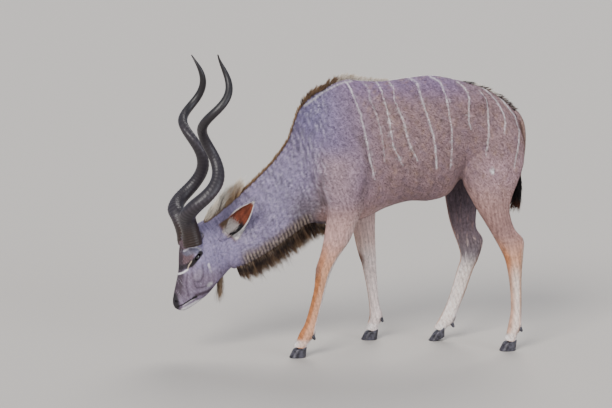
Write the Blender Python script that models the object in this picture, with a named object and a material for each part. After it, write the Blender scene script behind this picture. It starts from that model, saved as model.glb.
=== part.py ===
"""Greater kudu bull, grazing with its head low, as a still life-size museum model.

Metres, +Z up. The animal faces -X, its left side is towards -Y, and its hooves rest on z = 0.
The flesh is one smooth body made from lofted sections and then parted with thin cuts. Horns, ears,
eyes, hooves, dewclaws and the tail are pieces of their own, seated in the flesh. The mane, the
throat fringe and the tail tuft are tapered locks fused to the node that they grow from.
"""

import math
import random
from collections import namedtuple

import bmesh
import bpy
from mathutils import Matrix, Vector

GAP = 0.0003  # between pieces that touch
VOXEL = 0.007  # grid of the blended flesh
FLESH_TRIANGLES = 5200
EYE_RADIUS = 0.0215
HEAD_YAW = math.radians(11.1)  # the nose turns to the animal's left
HEAD_ROLL = math.radians(-4.9)
HEAD_PIVOT = Vector((-0.82, 0.0, 0.50))
HEAD_SHIFT = Vector((0.0, -0.022, 0.0))  # brings the nape back over the neck
ORIGIN = Vector((0.0213, 0.0690, 0.0))  # middle of the finished model's box, taken off at the end

# A cross-section: top and bottom are (x, z) points on its outline, side is the y of its middle, half is
# half its width, and taper narrows it towards the top (above 0) or towards the bottom (below 0).
Section = namedtuple("Section", "top bottom side half taper")

TORSO = (
    Section((-0.215, 1.14), (-0.195, 0.84), 0, 0.070, 0.1),  # front of the chest
    Section((-0.140, 1.350), (-0.165, 0.715), 0, 0.130, 0.25),
    Section((-0.02, 1.428), (-0.07, 0.668), 0, 0.168, 0.35),  # withers and breast
    Section((0.09, 1.424), (0.08, 0.690), 0, 0.188, 0.34),
    Section((0.20, 1.421), (0.21, 0.750), 0, 0.205, 0.26),  # behind the elbow
    Section((0.32, 1.436), (0.33, 0.783), 0, 0.222, 0.20),
    Section((0.44, 1.447), (0.44, 0.783), 0, 0.226, 0.18),  # deepest of the belly
    Section((0.55, 1.430), (0.535, 0.812), 0, 0.208, 0.16),
    Section((0.65, 1.402), (0.61, 0.892), 0, 0.182, 0.12),  # flank
    Section((0.74, 1.372), (0.73, 0.895), 0, 0.172, 0.14),  # croup
    Section((0.83, 1.315), (0.83, 0.895), 0, 0.150, 0.16),
    Section((0.895, 1.25), (0.90, 0.955), 0, 0.108, 0.15),
    Section((0.932, 1.16), (0.932, 1.03), 0, 0.045, 0.0),  # seat
)
NECK = (
    Section((0.06, 1.345), (0.10, 0.80), 0, 0.120, 0.2),  # inside the chest
    Section((-0.125, 1.376), (0.00, 0.688), 0, 0.142, 0.3),
    Section((-0.238, 1.282), (-0.095, 0.668), 0, 0.136, 0.32),
    Section((-0.300, 1.120), (-0.190, 0.672), 0, 0.122, 0.30),
    Section((-0.375, 1.012), (-0.265, 0.622), 0, 0.112, 0.28),
    Section((-0.475, 0.912), (-0.345, 0.565), 0, 0.100, 0.30),
    Section((-0.580, 0.820), (-0.430, 0.508), 0.005, 0.090, 0.34),
    Section((-0.672, 0.745), (-0.520, 0.456), 0.010, 0.080, 0.30),
    Section((-0.735, 0.700), (-0.590, 0.440), 0.012, 0.072, 0.20),  # inside the skull
)
HEAD = (
    Section((-0.700, 0.715), (-0.560, 0.500), 0, 0.060, 0.0),  # nape
    Section((-0.765, 0.688), (-0.590, 0.452), 0, 0.076, 0.0),
    Section((-0.825, 0.640), (-0.615, 0.428), 0, 0.084, -0.12),  # crown and jaw angle
    Section((-0.862, 0.585), (-0.640, 0.402), 0, 0.086, -0.20),
    Section((-0.872, 0.520), (-0.668, 0.375), 0, 0.080, -0.24),  # brow
    Section((-0.876, 0.460), (-0.698, 0.342), 0, 0.066, -0.16),
    Section((-0.886, 0.410), (-0.728, 0.312), 0, 0.055, -0.10),
    Section((-0.898, 0.365), (-0.762, 0.286), 0, 0.048, 0.0),
    Section((-0.908, 0.325), (-0.798, 0.264), 0, 0.043, 0.05),
    Section((-0.914, 0.293), (-0.832, 0.246), 0, 0.041, 0.05),  # nostrils and chin
    Section((-0.911, 0.268), (-0.856, 0.238), 0, 0.034, 0.0),
    Section((-0.901, 0.250), (-0.876, 0.238), 0, 0.018, 0.0),  # tip of the muzzle
)
# In the legs, top is the front of the section and bottom is its back.
LEG_FRONT_LEFT = (
    Section((-0.08, 1.25), (0.07, 1.28), -0.085, 0.030, 0.0),  # top of the shoulder blade
    Section((-0.15, 1.08), (0.11, 1.13), -0.112, 0.050, 0.0),
    Section((-0.180, 0.93), (0.13, 0.97), -0.125, 0.066, 0.0),  # point of the shoulder
    Section((-0.145, 0.83), (0.115, 0.86), -0.135, 0.062, 0.0),
    Section((-0.116, 0.76), (0.083, 0.785), -0.142, 0.054, 0.0),  # elbow
    Section((-0.122, 0.685), (0.042, 0.695), -0.148, 0.047, 0.0),
    Section((-0.134, 0.605), (0.004, 0.605), -0.150, 0.040, 0.0),
    Section((-0.152, 0.530), (-0.052, 0.525), -0.152, 0.034, 0.0),
    Section((-0.174, 0.465), (-0.088, 0.455), -0.154, 0.034, 0.0),  # knee
    Section((-0.178, 0.415), (-0.106, 0.408), -0.156, 0.029, 0.1),
    Section((-0.185, 0.350), (-0.124, 0.345), -0.158, 0.0225, 0.1),
    Section((-0.207, 0.260), (-0.147, 0.252), -0.161, 0.021, 0.1),  # cannon
    Section((-0.231, 0.180), (-0.168, 0.168), -0.163, 0.0225, 0.1),
    Section((-0.259, 0.128), (-0.178, 0.112), -0.165, 0.029, 0.0),  # fetlock
    Section((-0.276, 0.090), (-0.207, 0.074), -0.166, 0.025, 0.0),
    Section((-0.294, 0.056), (-0.222, 0.041), -0.167, 0.031, 0.0),  # coronet
)
LEG_FRONT_RIGHT = (
    Section((-0.06, 1.25), (0.09, 1.28), 0.085, 0.030, 0.0),
    Section((-0.12, 1.08), (0.13, 1.13), 0.112, 0.050, 0.0),
    Section((-0.140, 0.93), (0.155, 0.97), 0.125, 0.066, 0.0),
    Section((-0.075, 0.83), (0.175, 0.86), 0.135, 0.060, 0.0),
    Section((-0.005, 0.76), (0.188, 0.785), 0.142, 0.052, 0.0),
    Section((0.040, 0.690), (0.187, 0.695), 0.148, 0.046, 0.0),
    Section((0.064, 0.605), (0.186, 0.605), 0.152, 0.040, 0.0),
    Section((0.082, 0.525), (0.189, 0.520), 0.155, 0.034, 0.0),
    Section((0.100, 0.460), (0.193, 0.452), 0.158, 0.034, 0.0),  # knee
    Section((0.116, 0.412), (0.195, 0.408), 0.160, 0.029, 0.1),
    Section((0.131, 0.345), (0.199, 0.343), 0.162, 0.0225, 0.1),
    Section((0.144, 0.278), (0.205, 0.275), 0.164, 0.021, 0.1),  # cannon
    Section((0.156, 0.200), (0.214, 0.195), 0.166, 0.0225, 0.1),
    Section((0.160, 0.132), (0.234, 0.120), 0.168, 0.029, 0.0),  # fetlock
    Section((0.150, 0.090), (0.212, 0.076), 0.169, 0.025, 0.0),
    Section((0.138, 0.056), (0.206, 0.041), 0.170, 0.031, 0.0),  # coronet
)
LEG_HIND_LEFT = (
    Section((0.63, 1.27), (0.80, 1.29), -0.080, 0.040, 0.0),  # hip
    Section((0.60, 1.13), (0.915, 1.15), -0.096, 0.070, 0.0),
    Section((0.588, 1.00), (0.930, 1.01), -0.108, 0.078, -0.1),  # thigh
    Section((0.600, 0.895), (0.902, 0.91), -0.118, 0.074, -0.1),
    Section((0.645, 0.805), (0.868, 0.825), -0.126, 0.063, -0.15),  # stifle
    Section((0.681, 0.742), (0.851, 0.752), -0.131, 0.053, -0.22),
    Section((0.720, 0.680), (0.862, 0.690), -0.135, 0.044, -0.30),
    Section((0.757, 0.618), (0.884, 0.640), -0.138, 0.034, -0.34),
    Section((0.798, 0.545), (0.927, 0.588), -0.141, 0.034, -0.15),  # hock
    Section((0.826, 0.485), (0.925, 0.500), -0.144, 0.031, -0.05),
    Section((0.842, 0.415), (0.919, 0.420), -0.147, 0.025, 0.0),
    Section((0.855, 0.325), (0.918, 0.328), -0.150, 0.022, 0.1),  # cannon
    Section((0.860, 0.215), (0.920, 0.212), -0.153, 0.0225, 0.1),
    Section((0.848, 0.138), (0.922, 0.126), -0.155, 0.028, 0.0),  # fetlock
    Section((0.838, 0.092), (0.899, 0.078), -0.156, 0.024, 0.0),
    Section((0.826, 0.056), (0.890, 0.041), -0.157, 0.030, 0.0),  # coronet
)
LEG_HIND_RIGHT = (
    Section((0.62, 1.27), (0.80, 1.29), 0.080, 0.040, 0.0),
    Section((0.575, 1.13), (0.905, 1.15), 0.096, 0.070, 0.0),
    Section((0.545, 1.00), (0.895, 1.01), 0.106, 0.078, -0.1),
    Section((0.540, 0.895), (0.840, 0.91), 0.112, 0.074, -0.1),
    Section((0.552, 0.800), (0.778, 0.82), 0.116, 0.063, -0.15),  # stifle
    Section((0.566, 0.725), (0.738, 0.742), 0.118, 0.053, -0.22),
    Section((0.580, 0.660), (0.728, 0.675), 0.119, 0.044, -0.30),
    Section((0.602, 0.590), (0.732, 0.608), 0.119, 0.034, -0.34),
    Section((0.634, 0.505), (0.767, 0.545), 0.118, 0.034, -0.15),  # hock
    Section((0.644, 0.446), (0.748, 0.455), 0.117, 0.031, -0.05),
    Section((0.626, 0.382), (0.713, 0.375), 0.115, 0.025, 0.0),
    Section((0.597, 0.280), (0.674, 0.262), 0.112, 0.022, 0.1),  # cannon
    Section((0.566, 0.190), (0.636, 0.165), 0.109, 0.0225, 0.1),
    Section((0.536, 0.128), (0.612, 0.094), 0.107, 0.028, 0.0),  # fetlock
    Section((0.516, 0.095), (0.574, 0.068), 0.106, 0.024, 0.0),
    Section((0.498, 0.068), (0.560, 0.044), 0.105, 0.029, 0.0),  # coronet
)
LEGS = {
    "leg_front_left": LEG_FRONT_LEFT,
    "leg_front_right": LEG_FRONT_RIGHT,
    "leg_hind_left": LEG_HIND_LEFT,
    "leg_hind_right": LEG_HIND_RIGHT,
}

# Muscle and bone that stand out of the lofts: centre, half sizes, and turn about Y in degrees.
SWELLINGS = (
    ((-0.115, -0.135, 0.945), (0.070, 0.050, 0.085), -25),  # points of the shoulders
    ((-0.095, 0.135, 0.945), (0.070, 0.050, 0.085), -25),
    ((0.040, -0.158, 0.930), (0.066, 0.052, 0.150), 22),  # triceps
    ((0.070, 0.158, 0.930), (0.066, 0.052, 0.150), 10),
    ((0.800, -0.120, 1.050), (0.110, 0.062, 0.150), 0),  # thighs
    ((0.780, 0.120, 1.050), (0.110, 0.062, 0.150), 0),
    ((0.650, -0.112, 1.300), (0.085, 0.045, 0.070), 20),  # hip bones
    ((0.650, 0.112, 1.300), (0.085, 0.045, 0.070), 20),
)

MATERIALS = {
    "coat": ((0.30, 0.22, 0.17), 0.85, 0.0),
    "leg_coat": ((0.52, 0.30, 0.15), 0.85, 0.0),
    "neck_coat": ((0.31, 0.27, 0.25), 0.85, 0.0),
    "horn": ((0.09, 0.065, 0.055), 0.42, 0.0),
    "hoof": ((0.035, 0.033, 0.035), 0.40, 0.0),
    "eye": ((0.012, 0.008, 0.006), 0.08, 0.0),
}


def clear_scene():
    for thing in list(bpy.data.objects):
        bpy.data.objects.remove(thing)


def material(name):
    """The Principled BSDF of a slot, made the first time that it is asked for."""
    if name in bpy.data.materials:
        return bpy.data.materials[name]
    colour, roughness, metallic = MATERIALS[name]
    made = bpy.data.materials.new(name)
    made.use_nodes = True
    shader = made.node_tree.nodes["Principled BSDF"]
    shader.inputs["Base Color"].default_value = (*colour, 1.0)
    shader.inputs["Roughness"].default_value = roughness
    shader.inputs["Metallic"].default_value = metallic
    return made


def new_object(name, mesh, finish=None):
    made = bpy.data.objects.new(name, mesh)
    bpy.context.scene.collection.objects.link(made)
    if finish:
        mesh.materials.clear()
        mesh.materials.append(material(finish))
        mesh.shade_smooth()
        mesh.set_sharp_from_angle(angle=math.radians(50))
    return made


def mesh_from(bm, name):
    bmesh.ops.triangulate(bm, faces=bm.faces[:])
    bm.normal_update()
    bmesh.ops.recalc_face_normals(bm, faces=bm.faces[:])
    mesh = bpy.data.meshes.new(name)
    bm.to_mesh(mesh)
    bm.free()
    return mesh


def bake_modifiers(thing):
    """Replaces an object's mesh by the one its modifiers make."""
    graph = bpy.context.evaluated_depsgraph_get()
    mesh = bpy.data.meshes.new_from_object(thing.evaluated_get(graph))
    thing.modifiers.clear()
    thing.data = mesh


def spline(values, place):
    """A Catmull-Rom value at place, which counts along the values from 0."""
    last = len(values) - 1
    i = min(int(place), last - 1)
    t = place - i
    before, start, end, after = (values[max(0, min(last, i + k))] for k in (-1, 0, 1, 2))
    return start + 0.5 * t * (
        end - before + t * (2 * before - 5 * start + 4 * end - after + t * (3 * (start - end) + after - before))
    )


def section_at(sections, place):
    """The section at a place along a part, smoothed between the named ones."""
    rows = [(*s.top, *s.bottom, s.side, s.half, s.taper) for s in sections]
    x1, z1, x2, z2, side, half, taper = (spline(column, place) for column in zip(*rows))
    return Section((x1, z1), (x2, z2), side, max(half, 0.004), taper)


def ring_point(section, angle):
    """A point on a section's outline: angle 0 is its top, and pi is its bottom."""
    rise, out = math.cos(angle), math.sin(angle)
    top, bottom = Vector((section.top[0], 0, section.top[1])), Vector((section.bottom[0], 0, section.bottom[1]))
    point = (top + bottom) / 2 + (top - bottom) / 2 * rise
    point.y = section.side + section.half * out * (1 - section.taper * rise)
    return point


def add_tube(bm, rings):
    """Joins rings of points into one closed tube."""
    loops = [[bm.verts.new(point) for point in points] for points in rings]
    count = len(loops[0])
    for first, second in zip(loops, loops[1:]):
        for k in range(count):
            n = (k + 1) % count
            bm.faces.new((first[k], first[n], second[n], second[k]))
    bm.faces.new(reversed(loops[0]))
    bm.faces.new(loops[-1])


def add_loft(bm, sections, sides=28, steps=5):
    """Adds a closed loft through a part's sections."""
    count = (len(sections) - 1) * steps
    angles = [2 * math.pi * k / sides for k in range(sides)]
    rings = []
    for i in range(count + 1):
        section = section_at(sections, i / steps)
        rings.append([ring_point(section, a) for a in angles])
    add_tube(bm, rings)


def add_ellipsoid(bm, centre, radii, turn_y=0.0, segments=24):
    place = (
        Matrix.Translation(centre)
        @ Matrix.Rotation(math.radians(turn_y), 4, "Y")
        @ Matrix.Diagonal((*radii, 1.0))
    )
    bmesh.ops.create_uvsphere(bm, u_segments=segments, v_segments=segments // 2, radius=1.0, matrix=place)


def head_place():
    """Turns a piece from the head's own upright frame to its pose."""
    turn = Matrix.Rotation(HEAD_YAW, 4, "Z") @ Matrix.Rotation(HEAD_ROLL, 4, "X")
    return Matrix.Translation(HEAD_PIVOT + HEAD_SHIFT) @ turn @ Matrix.Translation(-HEAD_PIVOT)


def boolean(body, others, operation, solver="MANIFOLD"):
    """Applies one Boolean of a collection of closed meshes, and removes the collection's objects."""
    group = bpy.data.collections.new("cutters")
    for other in others:
        group.objects.link(other)
    step = body.modifiers.new("cut", "BOOLEAN")
    step.operation = operation
    step.solver = solver
    step.operand_type = "COLLECTION"
    step.collection = group
    bake_modifiers(body)
    for other in others:
        bpy.data.objects.remove(other)
    bpy.data.collections.remove(group)


def islands(bm):
    """The vertices of each closed surface in a mesh."""
    found, seen = [], set()
    for start in bm.verts:
        if start in seen:
            continue
        seen.add(start)
        group, queue = [], [start]
        while queue:
            vert = queue.pop()
            group.append(vert)
            for edge in vert.link_edges:
                other = edge.other_vert(vert)
                if other not in seen:
                    seen.add(other)
                    queue.append(other)
        found.append(group)
    return found


def island_meshes(thing):
    """Splits a mesh into its closed surfaces, biggest first."""
    bm = bmesh.new()
    bm.from_mesh(thing.data)
    bm.verts.index_update()
    groups = [{v.index for v in group} for group in islands(bm)]
    bm.free()
    parts = []
    for number, keep in enumerate(groups):
        bm = bmesh.new()
        bm.from_mesh(thing.data)
        bm.verts.ensure_lookup_table()
        bmesh.ops.delete(bm, geom=[v for v in bm.verts if v.index not in keep], context="VERTS")
        volume = bm.calc_volume(signed=True)
        parts.append((volume, number, bm))
    parts.sort(key=lambda row: -row[0])
    meshes = []
    for volume, number, bm in parts:
        mesh = bpy.data.meshes.new("part")
        bm.to_mesh(mesh)
        bm.free()
        meshes.append(mesh)
    return meshes


def keep_largest(thing):
    """Drops the small closed surfaces that a union can leave."""
    thing.data = island_meshes(thing)[0]


def tidy(thing, finish):
    """Takes out slivers, as far as the surface stays closed, and gives the piece its material."""
    for distance in (0.00001, 0.000003, 0.000001, 0.0):
        bm = bmesh.new()
        bm.from_mesh(thing.data)
        if distance:
            bmesh.ops.remove_doubles(bm, verts=bm.verts[:], dist=distance / 5)
            bmesh.ops.dissolve_degenerate(bm, edges=bm.edges[:], dist=distance)
        bmesh.ops.triangulate(bm, faces=bm.faces[:])
        closed = all(edge.is_manifold for edge in bm.edges)
        if closed or not distance:
            bm.to_mesh(thing.data)
        bm.free()
        if closed:
            break
    for face in thing.data.polygons:
        face.material_index = 0
        face.use_smooth = True
    thing.data.materials.clear()
    thing.data.materials.append(material(finish))
    thing.data.set_sharp_from_angle(angle=math.radians(50))


def add_block(corner, along, across, depth, lift=0.0):
    """A block below a cutting plane: the plane's corner and two edges, and how far down the block goes."""
    along, across, depth = Vector(along), Vector(across), Vector(depth)
    normal = along.cross(across).normalized()
    if normal.dot(depth) > 0:
        normal.negate()
    bm = bmesh.new()
    bmesh.ops.create_cube(bm, size=1.0)
    for vert in bm.verts:
        u, v, w = (c + 0.5 for c in vert.co)
        vert.co = Vector(corner) + along * u + across * v + (normal * lift if w > 0.5 else depth)
    return new_object("block", mesh_from(bm, "block"))


def part_off(body, name, plane, depth):
    """Parts a body at a plane: what lies in the block below it becomes an object of its own."""
    piece = new_object(name, body.data.copy())
    boolean(piece, [add_block(*plane, depth)], "INTERSECT")
    keep_largest(piece)
    boolean(body, [add_block(*plane, depth, GAP)], "DIFFERENCE")
    keep_largest(body)
    return piece


def copy_of(thing, name, grow=0.0):
    """A copy of a piece, swollen along its normals by grow."""
    bm = bmesh.new()
    bm.from_mesh(thing.data)
    bm.normal_update()
    moves = [(v, v.normal.copy()) for v in bm.verts]
    for vert, normal in moves:
        vert.co += normal * grow
    return new_object(name, mesh_from(bm, name))


def make_flesh():
    """The whole body as one smooth closed mesh, with more triangles kept where it is small."""
    bm = bmesh.new()
    add_loft(bm, TORSO, 32)
    add_loft(bm, NECK)
    for sections in LEGS.values():
        add_loft(bm, sections, 20)
    for centre, radii, turn in SWELLINGS:
        add_ellipsoid(bm, centre, radii, turn)
    head = bmesh.new()
    add_loft(head, HEAD, 28)
    for side in (-1, 1):
        add_ellipsoid(head, (-0.805, side * 0.050, 0.520), (0.050, 0.030, 0.046))  # round the eye
        add_ellipsoid(head, (-0.715, side * 0.052, 0.440), (0.062, 0.026, 0.075), 20)  # cheek
        add_ellipsoid(head, (-0.815, side * 0.048, 0.585), (0.046, 0.034, 0.040))  # seat of the horn
        add_ellipsoid(head, (-0.880, side * 0.028, 0.285), (0.024, 0.016, 0.030))  # nostril wing
    head.transform(head_place())
    head_mesh = mesh_from(head, "head_forms")
    bm.from_mesh(head_mesh)
    bpy.data.meshes.remove(head_mesh)
    body = new_object("flesh", mesh_from(bm, "flesh"))
    blend = body.modifiers.new("blend", "REMESH")
    blend.mode = "VOXEL"
    blend.voxel_size = VOXEL
    bake_modifiers(body)
    soften = body.modifiers.new("soften", "SMOOTH")
    soften.factor = 0.5
    soften.iterations = 5
    bake_modifiers(body)
    coarse = body.vertex_groups.new(name="coarse")
    for vert in body.data.vertices:
        x, y, z = vert.co
        if z < 0.62 and x > -0.45:  # legs
            weight = 0.60
        elif x < -0.60 and z < 0.72:  # head
            weight = 0.50
        elif x < -0.2:
            weight = 0.80
        else:
            weight = 1.0
        coarse.add([vert.index], weight, "REPLACE")
    thin = body.modifiers.new("thin", "DECIMATE")
    thin.vertex_group = "coarse"
    thin.vertex_group_factor = 0.06
    thin.ratio = FLESH_TRIANGLES / sum(len(p.vertices) - 2 for p in body.data.polygons)
    bake_modifiers(body)
    return body


def horn_line(s, side):
    """The middle of a horn at s from 0 at its root to 1 at its tip, in the head's own frame."""
    tilt, splay = math.radians(8.6), math.radians(13.0)
    up = Vector((math.sin(tilt), 0, math.cos(tilt)))
    front = Vector((-math.cos(tilt), 0, math.sin(tilt)))
    lateral = Vector((0, -1, 0))
    axis = up * math.cos(splay) + lateral * math.sin(splay)
    out = lateral * math.cos(splay) - up * math.sin(splay)
    back = max(0.0, min(1.0, (0.24 - s) / 0.16))
    point = Vector((-0.8314, -0.066, 0.6055)) + axis * (0.9802 * s)
    point.x += (0.019 + 0.006 * min(1.0, s / 0.06)) * back * back * (3 - 2 * back)
    for place, sign in ((s, 1), (0.0, -1)):  # the coil, from its own start
        angle = math.pi * (-0.411 + 3.267 * place + 0.880 * place * place)
        wide = (0.0785 - 0.0388 * place) * (0.526 + 0.474 * min(1.0, place / 0.15))
        aside = wide * math.sin(angle)
        if aside < 0:  # near their roots the two stay apart
            aside *= min(1.0, 0.15 + 3.0 * place)
        point += (front * (wide * math.cos(angle)) + out * aside) * sign
    point -= front * (0.0098 * 4 * s * (1 - s))
    if side > 0:
        point.y = -point.y
    return point


HORN_RADII = (0.0475, 0.0425, 0.0385, 0.0345, 0.0310, 0.0275, 0.0250, 0.0230, 0.0205, 0.0150, 0.0035)


def horn_axis_point(s, side):
    """The horn's axis at s, past its root too."""
    if s >= 0:
        return horn_line(s, side)
    start = horn_line(0.0, side)
    return start + (start - horn_line(0.03, side)).normalized() * (-s)


def make_horn(name, side, rings=50, sides=12):
    """A corkscrew horn with a keel along the outside of its coil."""
    middle = [horn_line(s, side) for s in (k / 20 for k in range(21))]
    core = [sum((middle[max(0, min(20, k + j))] for j in range(-5, 6)), Vector()) / 11 for k in range(21)]
    bm = bmesh.new()
    loops = []
    for i in range(rings + 1):
        s = -0.022 + 1.022 * i / rings
        centre = horn_axis_point(s, side)
        ahead = horn_axis_point(min(s + 0.004, 1.0), side) - horn_axis_point(s - 0.004, side)
        ahead.normalize()
        place = max(s, 0.0) * 20
        k = min(int(place), 19)
        spine = core[k].lerp(core[k + 1], place - k)
        outward = centre - spine
        outward -= ahead * outward.dot(ahead)
        if s < 0.05:
            fixed = Vector((-1, -side * 0.2, 0.1))
            fixed -= ahead * fixed.dot(ahead)
            outward = outward.normalized().lerp(fixed.normalized(), 1 - max(s, 0) / 0.05)
        outward.normalize()
        sideways = ahead.cross(outward)
        radius = spline(HORN_RADII, max(s, 0.0) * (len(HORN_RADII) - 1))
        points = []
        for k in range(sides):
            angle = 2 * math.pi * k / sides
            keel = 1 + 0.13 * max(0.0, math.cos(angle)) ** 6 * (1 - max(s, 0) ** 4)
            points.append(centre + (outward * math.cos(angle) + sideways * math.sin(angle)) * radius * keel)
        loops.append(points)
    add_tube(bm, loops)
    bm.transform(head_place())
    return new_object(name, mesh_from(bm, name), "horn")


def make_ear(name, side, grow=0.0):
    """A cupped ear, closed round its rim and solid at its root, or with grow the stub that seats it."""
    root, tip = Vector((-0.652, side * 0.082, 0.618)), Vector((-0.530, side * 0.245, 0.806))
    along = (tip - root).normalized()
    face = Vector((-0.42, side * 1.0, 0.10))  # the way that the cup opens
    face = (face - along * face.dot(along)).normalized()
    across = along.cross(face)
    length = (tip - root).length
    widths = (0.016, 0.020, 0.031, 0.042, 0.047, 0.046, 0.040, 0.029, 0.016, 0.005)
    depths = (0.016, 0.020, 0.026, 0.028, 0.026, 0.023, 0.019, 0.014, 0.008, 0.003)
    loops = []
    for i, (width, depth) in enumerate(zip(widths, depths)):
        t = -0.10 + 1.10 * i / (len(widths) - 1)
        if grow:
            if i > 4:
                break
            t += (-0.004, 0.0, 0.0, 0.0, 0.0)[i]
            width, depth = width + grow, depth + grow
        centre = root + along * (length * t) - face * (0.010 * math.sin(math.pi * max(t, 0)))
        hollow = 0.0 if grow else min(1.0, max(0.0, (t - 0.02) / 0.14))
        wall = 0.0042
        outer, inner = [], []
        for k in range(8):
            a = math.pi * k / 7
            outer.append(centre + across * (math.cos(a) * width) - face * (math.sin(a) * depth))
        for k in range(1, 7):
            a = math.pi * (1 - k / 7)
            lift = (1 - hollow) * depth * 0.9
            inner.append(
                centre
                + across * (math.cos(a) * max(width - wall, width * 0.5))
                - face * (math.sin(a) * (hollow * max(depth - wall, depth * 0.35) - lift))
            )
        loops.append(outer + inner)
    bm = bmesh.new()
    add_tube(bm, loops)
    bm.transform(head_place())
    return new_object(name, mesh_from(bm, name), "neck_coat")


EYE_PLACE = (-0.792, 0.0575, 0.519)


def make_eye(name, side):
    x, y, z = EYE_PLACE
    bm = bmesh.new()
    add_ellipsoid(bm, (x, side * y, z), (EYE_RADIUS,) * 3, 0, 16)
    bm.transform(head_place())
    return new_object(name, mesh_from(bm, name), "eye")


def make_eye_opening(side):
    """The almond between the lids, as a plug that is cut from the head."""
    x, y, z = EYE_PLACE
    long, high = Vector((0.60, 0, 0.80)), Vector((-0.80, 0, 0.60))
    loops = []
    for out, grow in ((0.002, 0.75), (0.018, 1.0), (0.060, 1.7)):
        points = []
        for k in range(14):
            angle = 2 * math.pi * k / 14
            u, v = 0.0200 * math.cos(angle), 0.0115 * math.sin(angle) * (1 - 0.35 * math.cos(angle) ** 2)
            points.append(Vector((x, side * (y + out), z)) + (long * u + high * v) * grow)
        loops.append(points)
    bm = bmesh.new()
    add_tube(bm, loops)
    bm.transform(head_place())
    return new_object("opening", mesh_from(bm, "opening"))


# Feet: the middle of the coronet, the slant of the foot, and its turn about Z in degrees.
FEET = {
    "leg_front_left": ((-0.258, -0.167), 0.0485, 0.0, 4),
    "leg_front_right": ((0.172, 0.170), 0.0485, 0.0, -4),
    "leg_hind_left": ((0.858, -0.157), 0.0485, 0.0, 3),
    "leg_hind_right": ((0.529, 0.105), 0.056, 20.0, -2),
}


def foot_plane(foot):
    """A point on the coronet, the way down the hoof, and the way to the toe."""
    (x, y), z, pitch, turn = FEET[foot]
    place = Matrix.Translation((x, y, z)) @ Matrix.Rotation(math.radians(turn), 4, "Z")
    return place @ Matrix.Rotation(math.radians(-14 - pitch), 4, "Y"), place


def make_claw(name, foot, side):
    """One hoof of a pair, with a flat top below the coronet and a flat sole."""
    (x, y), z, pitch, turn = FEET[foot]
    top_place, place = foot_plane(foot)
    flat = math.radians(pitch)
    loops = []
    outline = ((-1.0, 0.10), (-0.86, 0.62), (-0.45, 0.96), (0.10, 1.0), (0.62, 0.84), (0.95, 0.45),
               (1.0, 0.06), (0.6, 0.0), (0.0, 0.0), (-0.6, 0.0))
    drop = z / math.cos(flat)
    for t in (0.0, 0.35, 0.72, 1.0):
        grow = 1 + 0.16 * t
        points = []
        for u, v in outline:
            along, out = u * 0.0375 * grow, 0.0016 + v * 0.0305 * (1 + 0.05 * t)
            start = top_place @ Vector((along, side * out, -GAP))
            sole = Vector((along - 0.013, side * out, 0))
            sole.rotate(Matrix.Rotation(math.radians(turn), 3, "Z"))
            end = Vector((x + sole.x, y + sole.y, 0.0))
            if pitch:
                end.z = max(0.0, (sole.x + 0.028) * math.tan(flat))
            points.append(start.lerp(end, t))
        loops.append(points)
    bm = bmesh.new()
    add_tube(bm, loops)
    return new_object(name, mesh_from(bm, name), "hoof")


def make_dewclaw(name, foot, side, back, spread):
    """A small horny knob behind a fetlock."""
    point = Vector(back)
    axis = Vector((0.55, side * 0.35, -1.0)).normalized()
    turn = axis.to_track_quat("Z", "Y").to_matrix().to_4x4()
    bm = bmesh.new()
    place = Matrix.Translation(point + Vector((0, side * spread, 0))) @ turn
    bmesh.ops.create_cone(
        bm, cap_ends=True, segments=8, radius1=0.0115, radius2=0.0055, depth=0.026, matrix=place
    )
    return new_object(name, mesh_from(bm, name), "hoof")


DEWCLAWS = {
    "leg_front_left": (-0.186, -0.165, 0.103),
    "leg_front_right": (0.226, 0.168, 0.108),
    "leg_hind_left": (0.914, -0.155, 0.112),
    "leg_hind_right": (0.603, 0.107, 0.082),
}

TAIL = (
    Section((0.895, 1.262), (0.880, 1.225), 0, 0.016, 0.0),  # root, inside the rump
    Section((0.925, 1.240), (0.902, 1.205), 0, 0.022, 0.0),
    Section((0.954, 1.180), (0.925, 1.165), 0, 0.023, 0.0),
    Section((0.963, 1.095), (0.935, 1.092), 0, 0.021, 0.0),
    Section((0.956, 1.000), (0.930, 0.998), 0, 0.018, 0.0),
    Section((0.943, 0.925), (0.919, 0.922), 0, 0.018, 0.0),
    Section((0.938, 0.865), (0.910, 0.860), 0, 0.022, 0.0),
    Section((0.933, 0.800), (0.904, 0.796), 0, 0.021, 0.0),
    Section((0.921, 0.738), (0.909, 0.735), 0, 0.007, 0.0),
)


def make_tail(name):
    bm = bmesh.new()
    add_loft(bm, TAIL, 10, 2)
    return new_object(name, mesh_from(bm, name), "coat")


def make_lock(root, way, flat, length, wide, thick, bend):
    """A flat tapered lock of hair: it leaves its root along way, is wide along flat, and bends."""
    way = Vector(way).normalized()
    flat = (Vector(flat) - way * way.dot(Vector(flat))).normalized()
    side = way.cross(flat)
    rings = []
    for t, share in ((0.0, 0.95), (0.38, 1.0), (0.74, 0.62), (1.0, 0.07)):
        centre = Vector(root) + way * (length * t) + Vector(bend) * (length * t * t)
        a, b = flat * (wide / 2 * share), side * (thick / 2 * share)
        rings.append([centre + a, centre + b, centre - a, centre - b])
    bm = bmesh.new()
    add_tube(bm, rings)
    return new_object("lock", mesh_from(bm, "lock"))


def line_point(line, t):
    """The point at share t of a line of (x, z) corners, and the way that the line runs there."""
    corners = [Vector((x, 0, z)) for x, z in line]
    spans = [(b - a).length for a, b in zip(corners, corners[1:])]
    left = max(0.0, min(1.0, t)) * sum(spans)
    for a, b, span in zip(corners, corners[1:], spans):
        if left <= span or b is corners[-1]:
            return a.lerp(b, left / span), (b - a).normalized()
        left -= span


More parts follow.
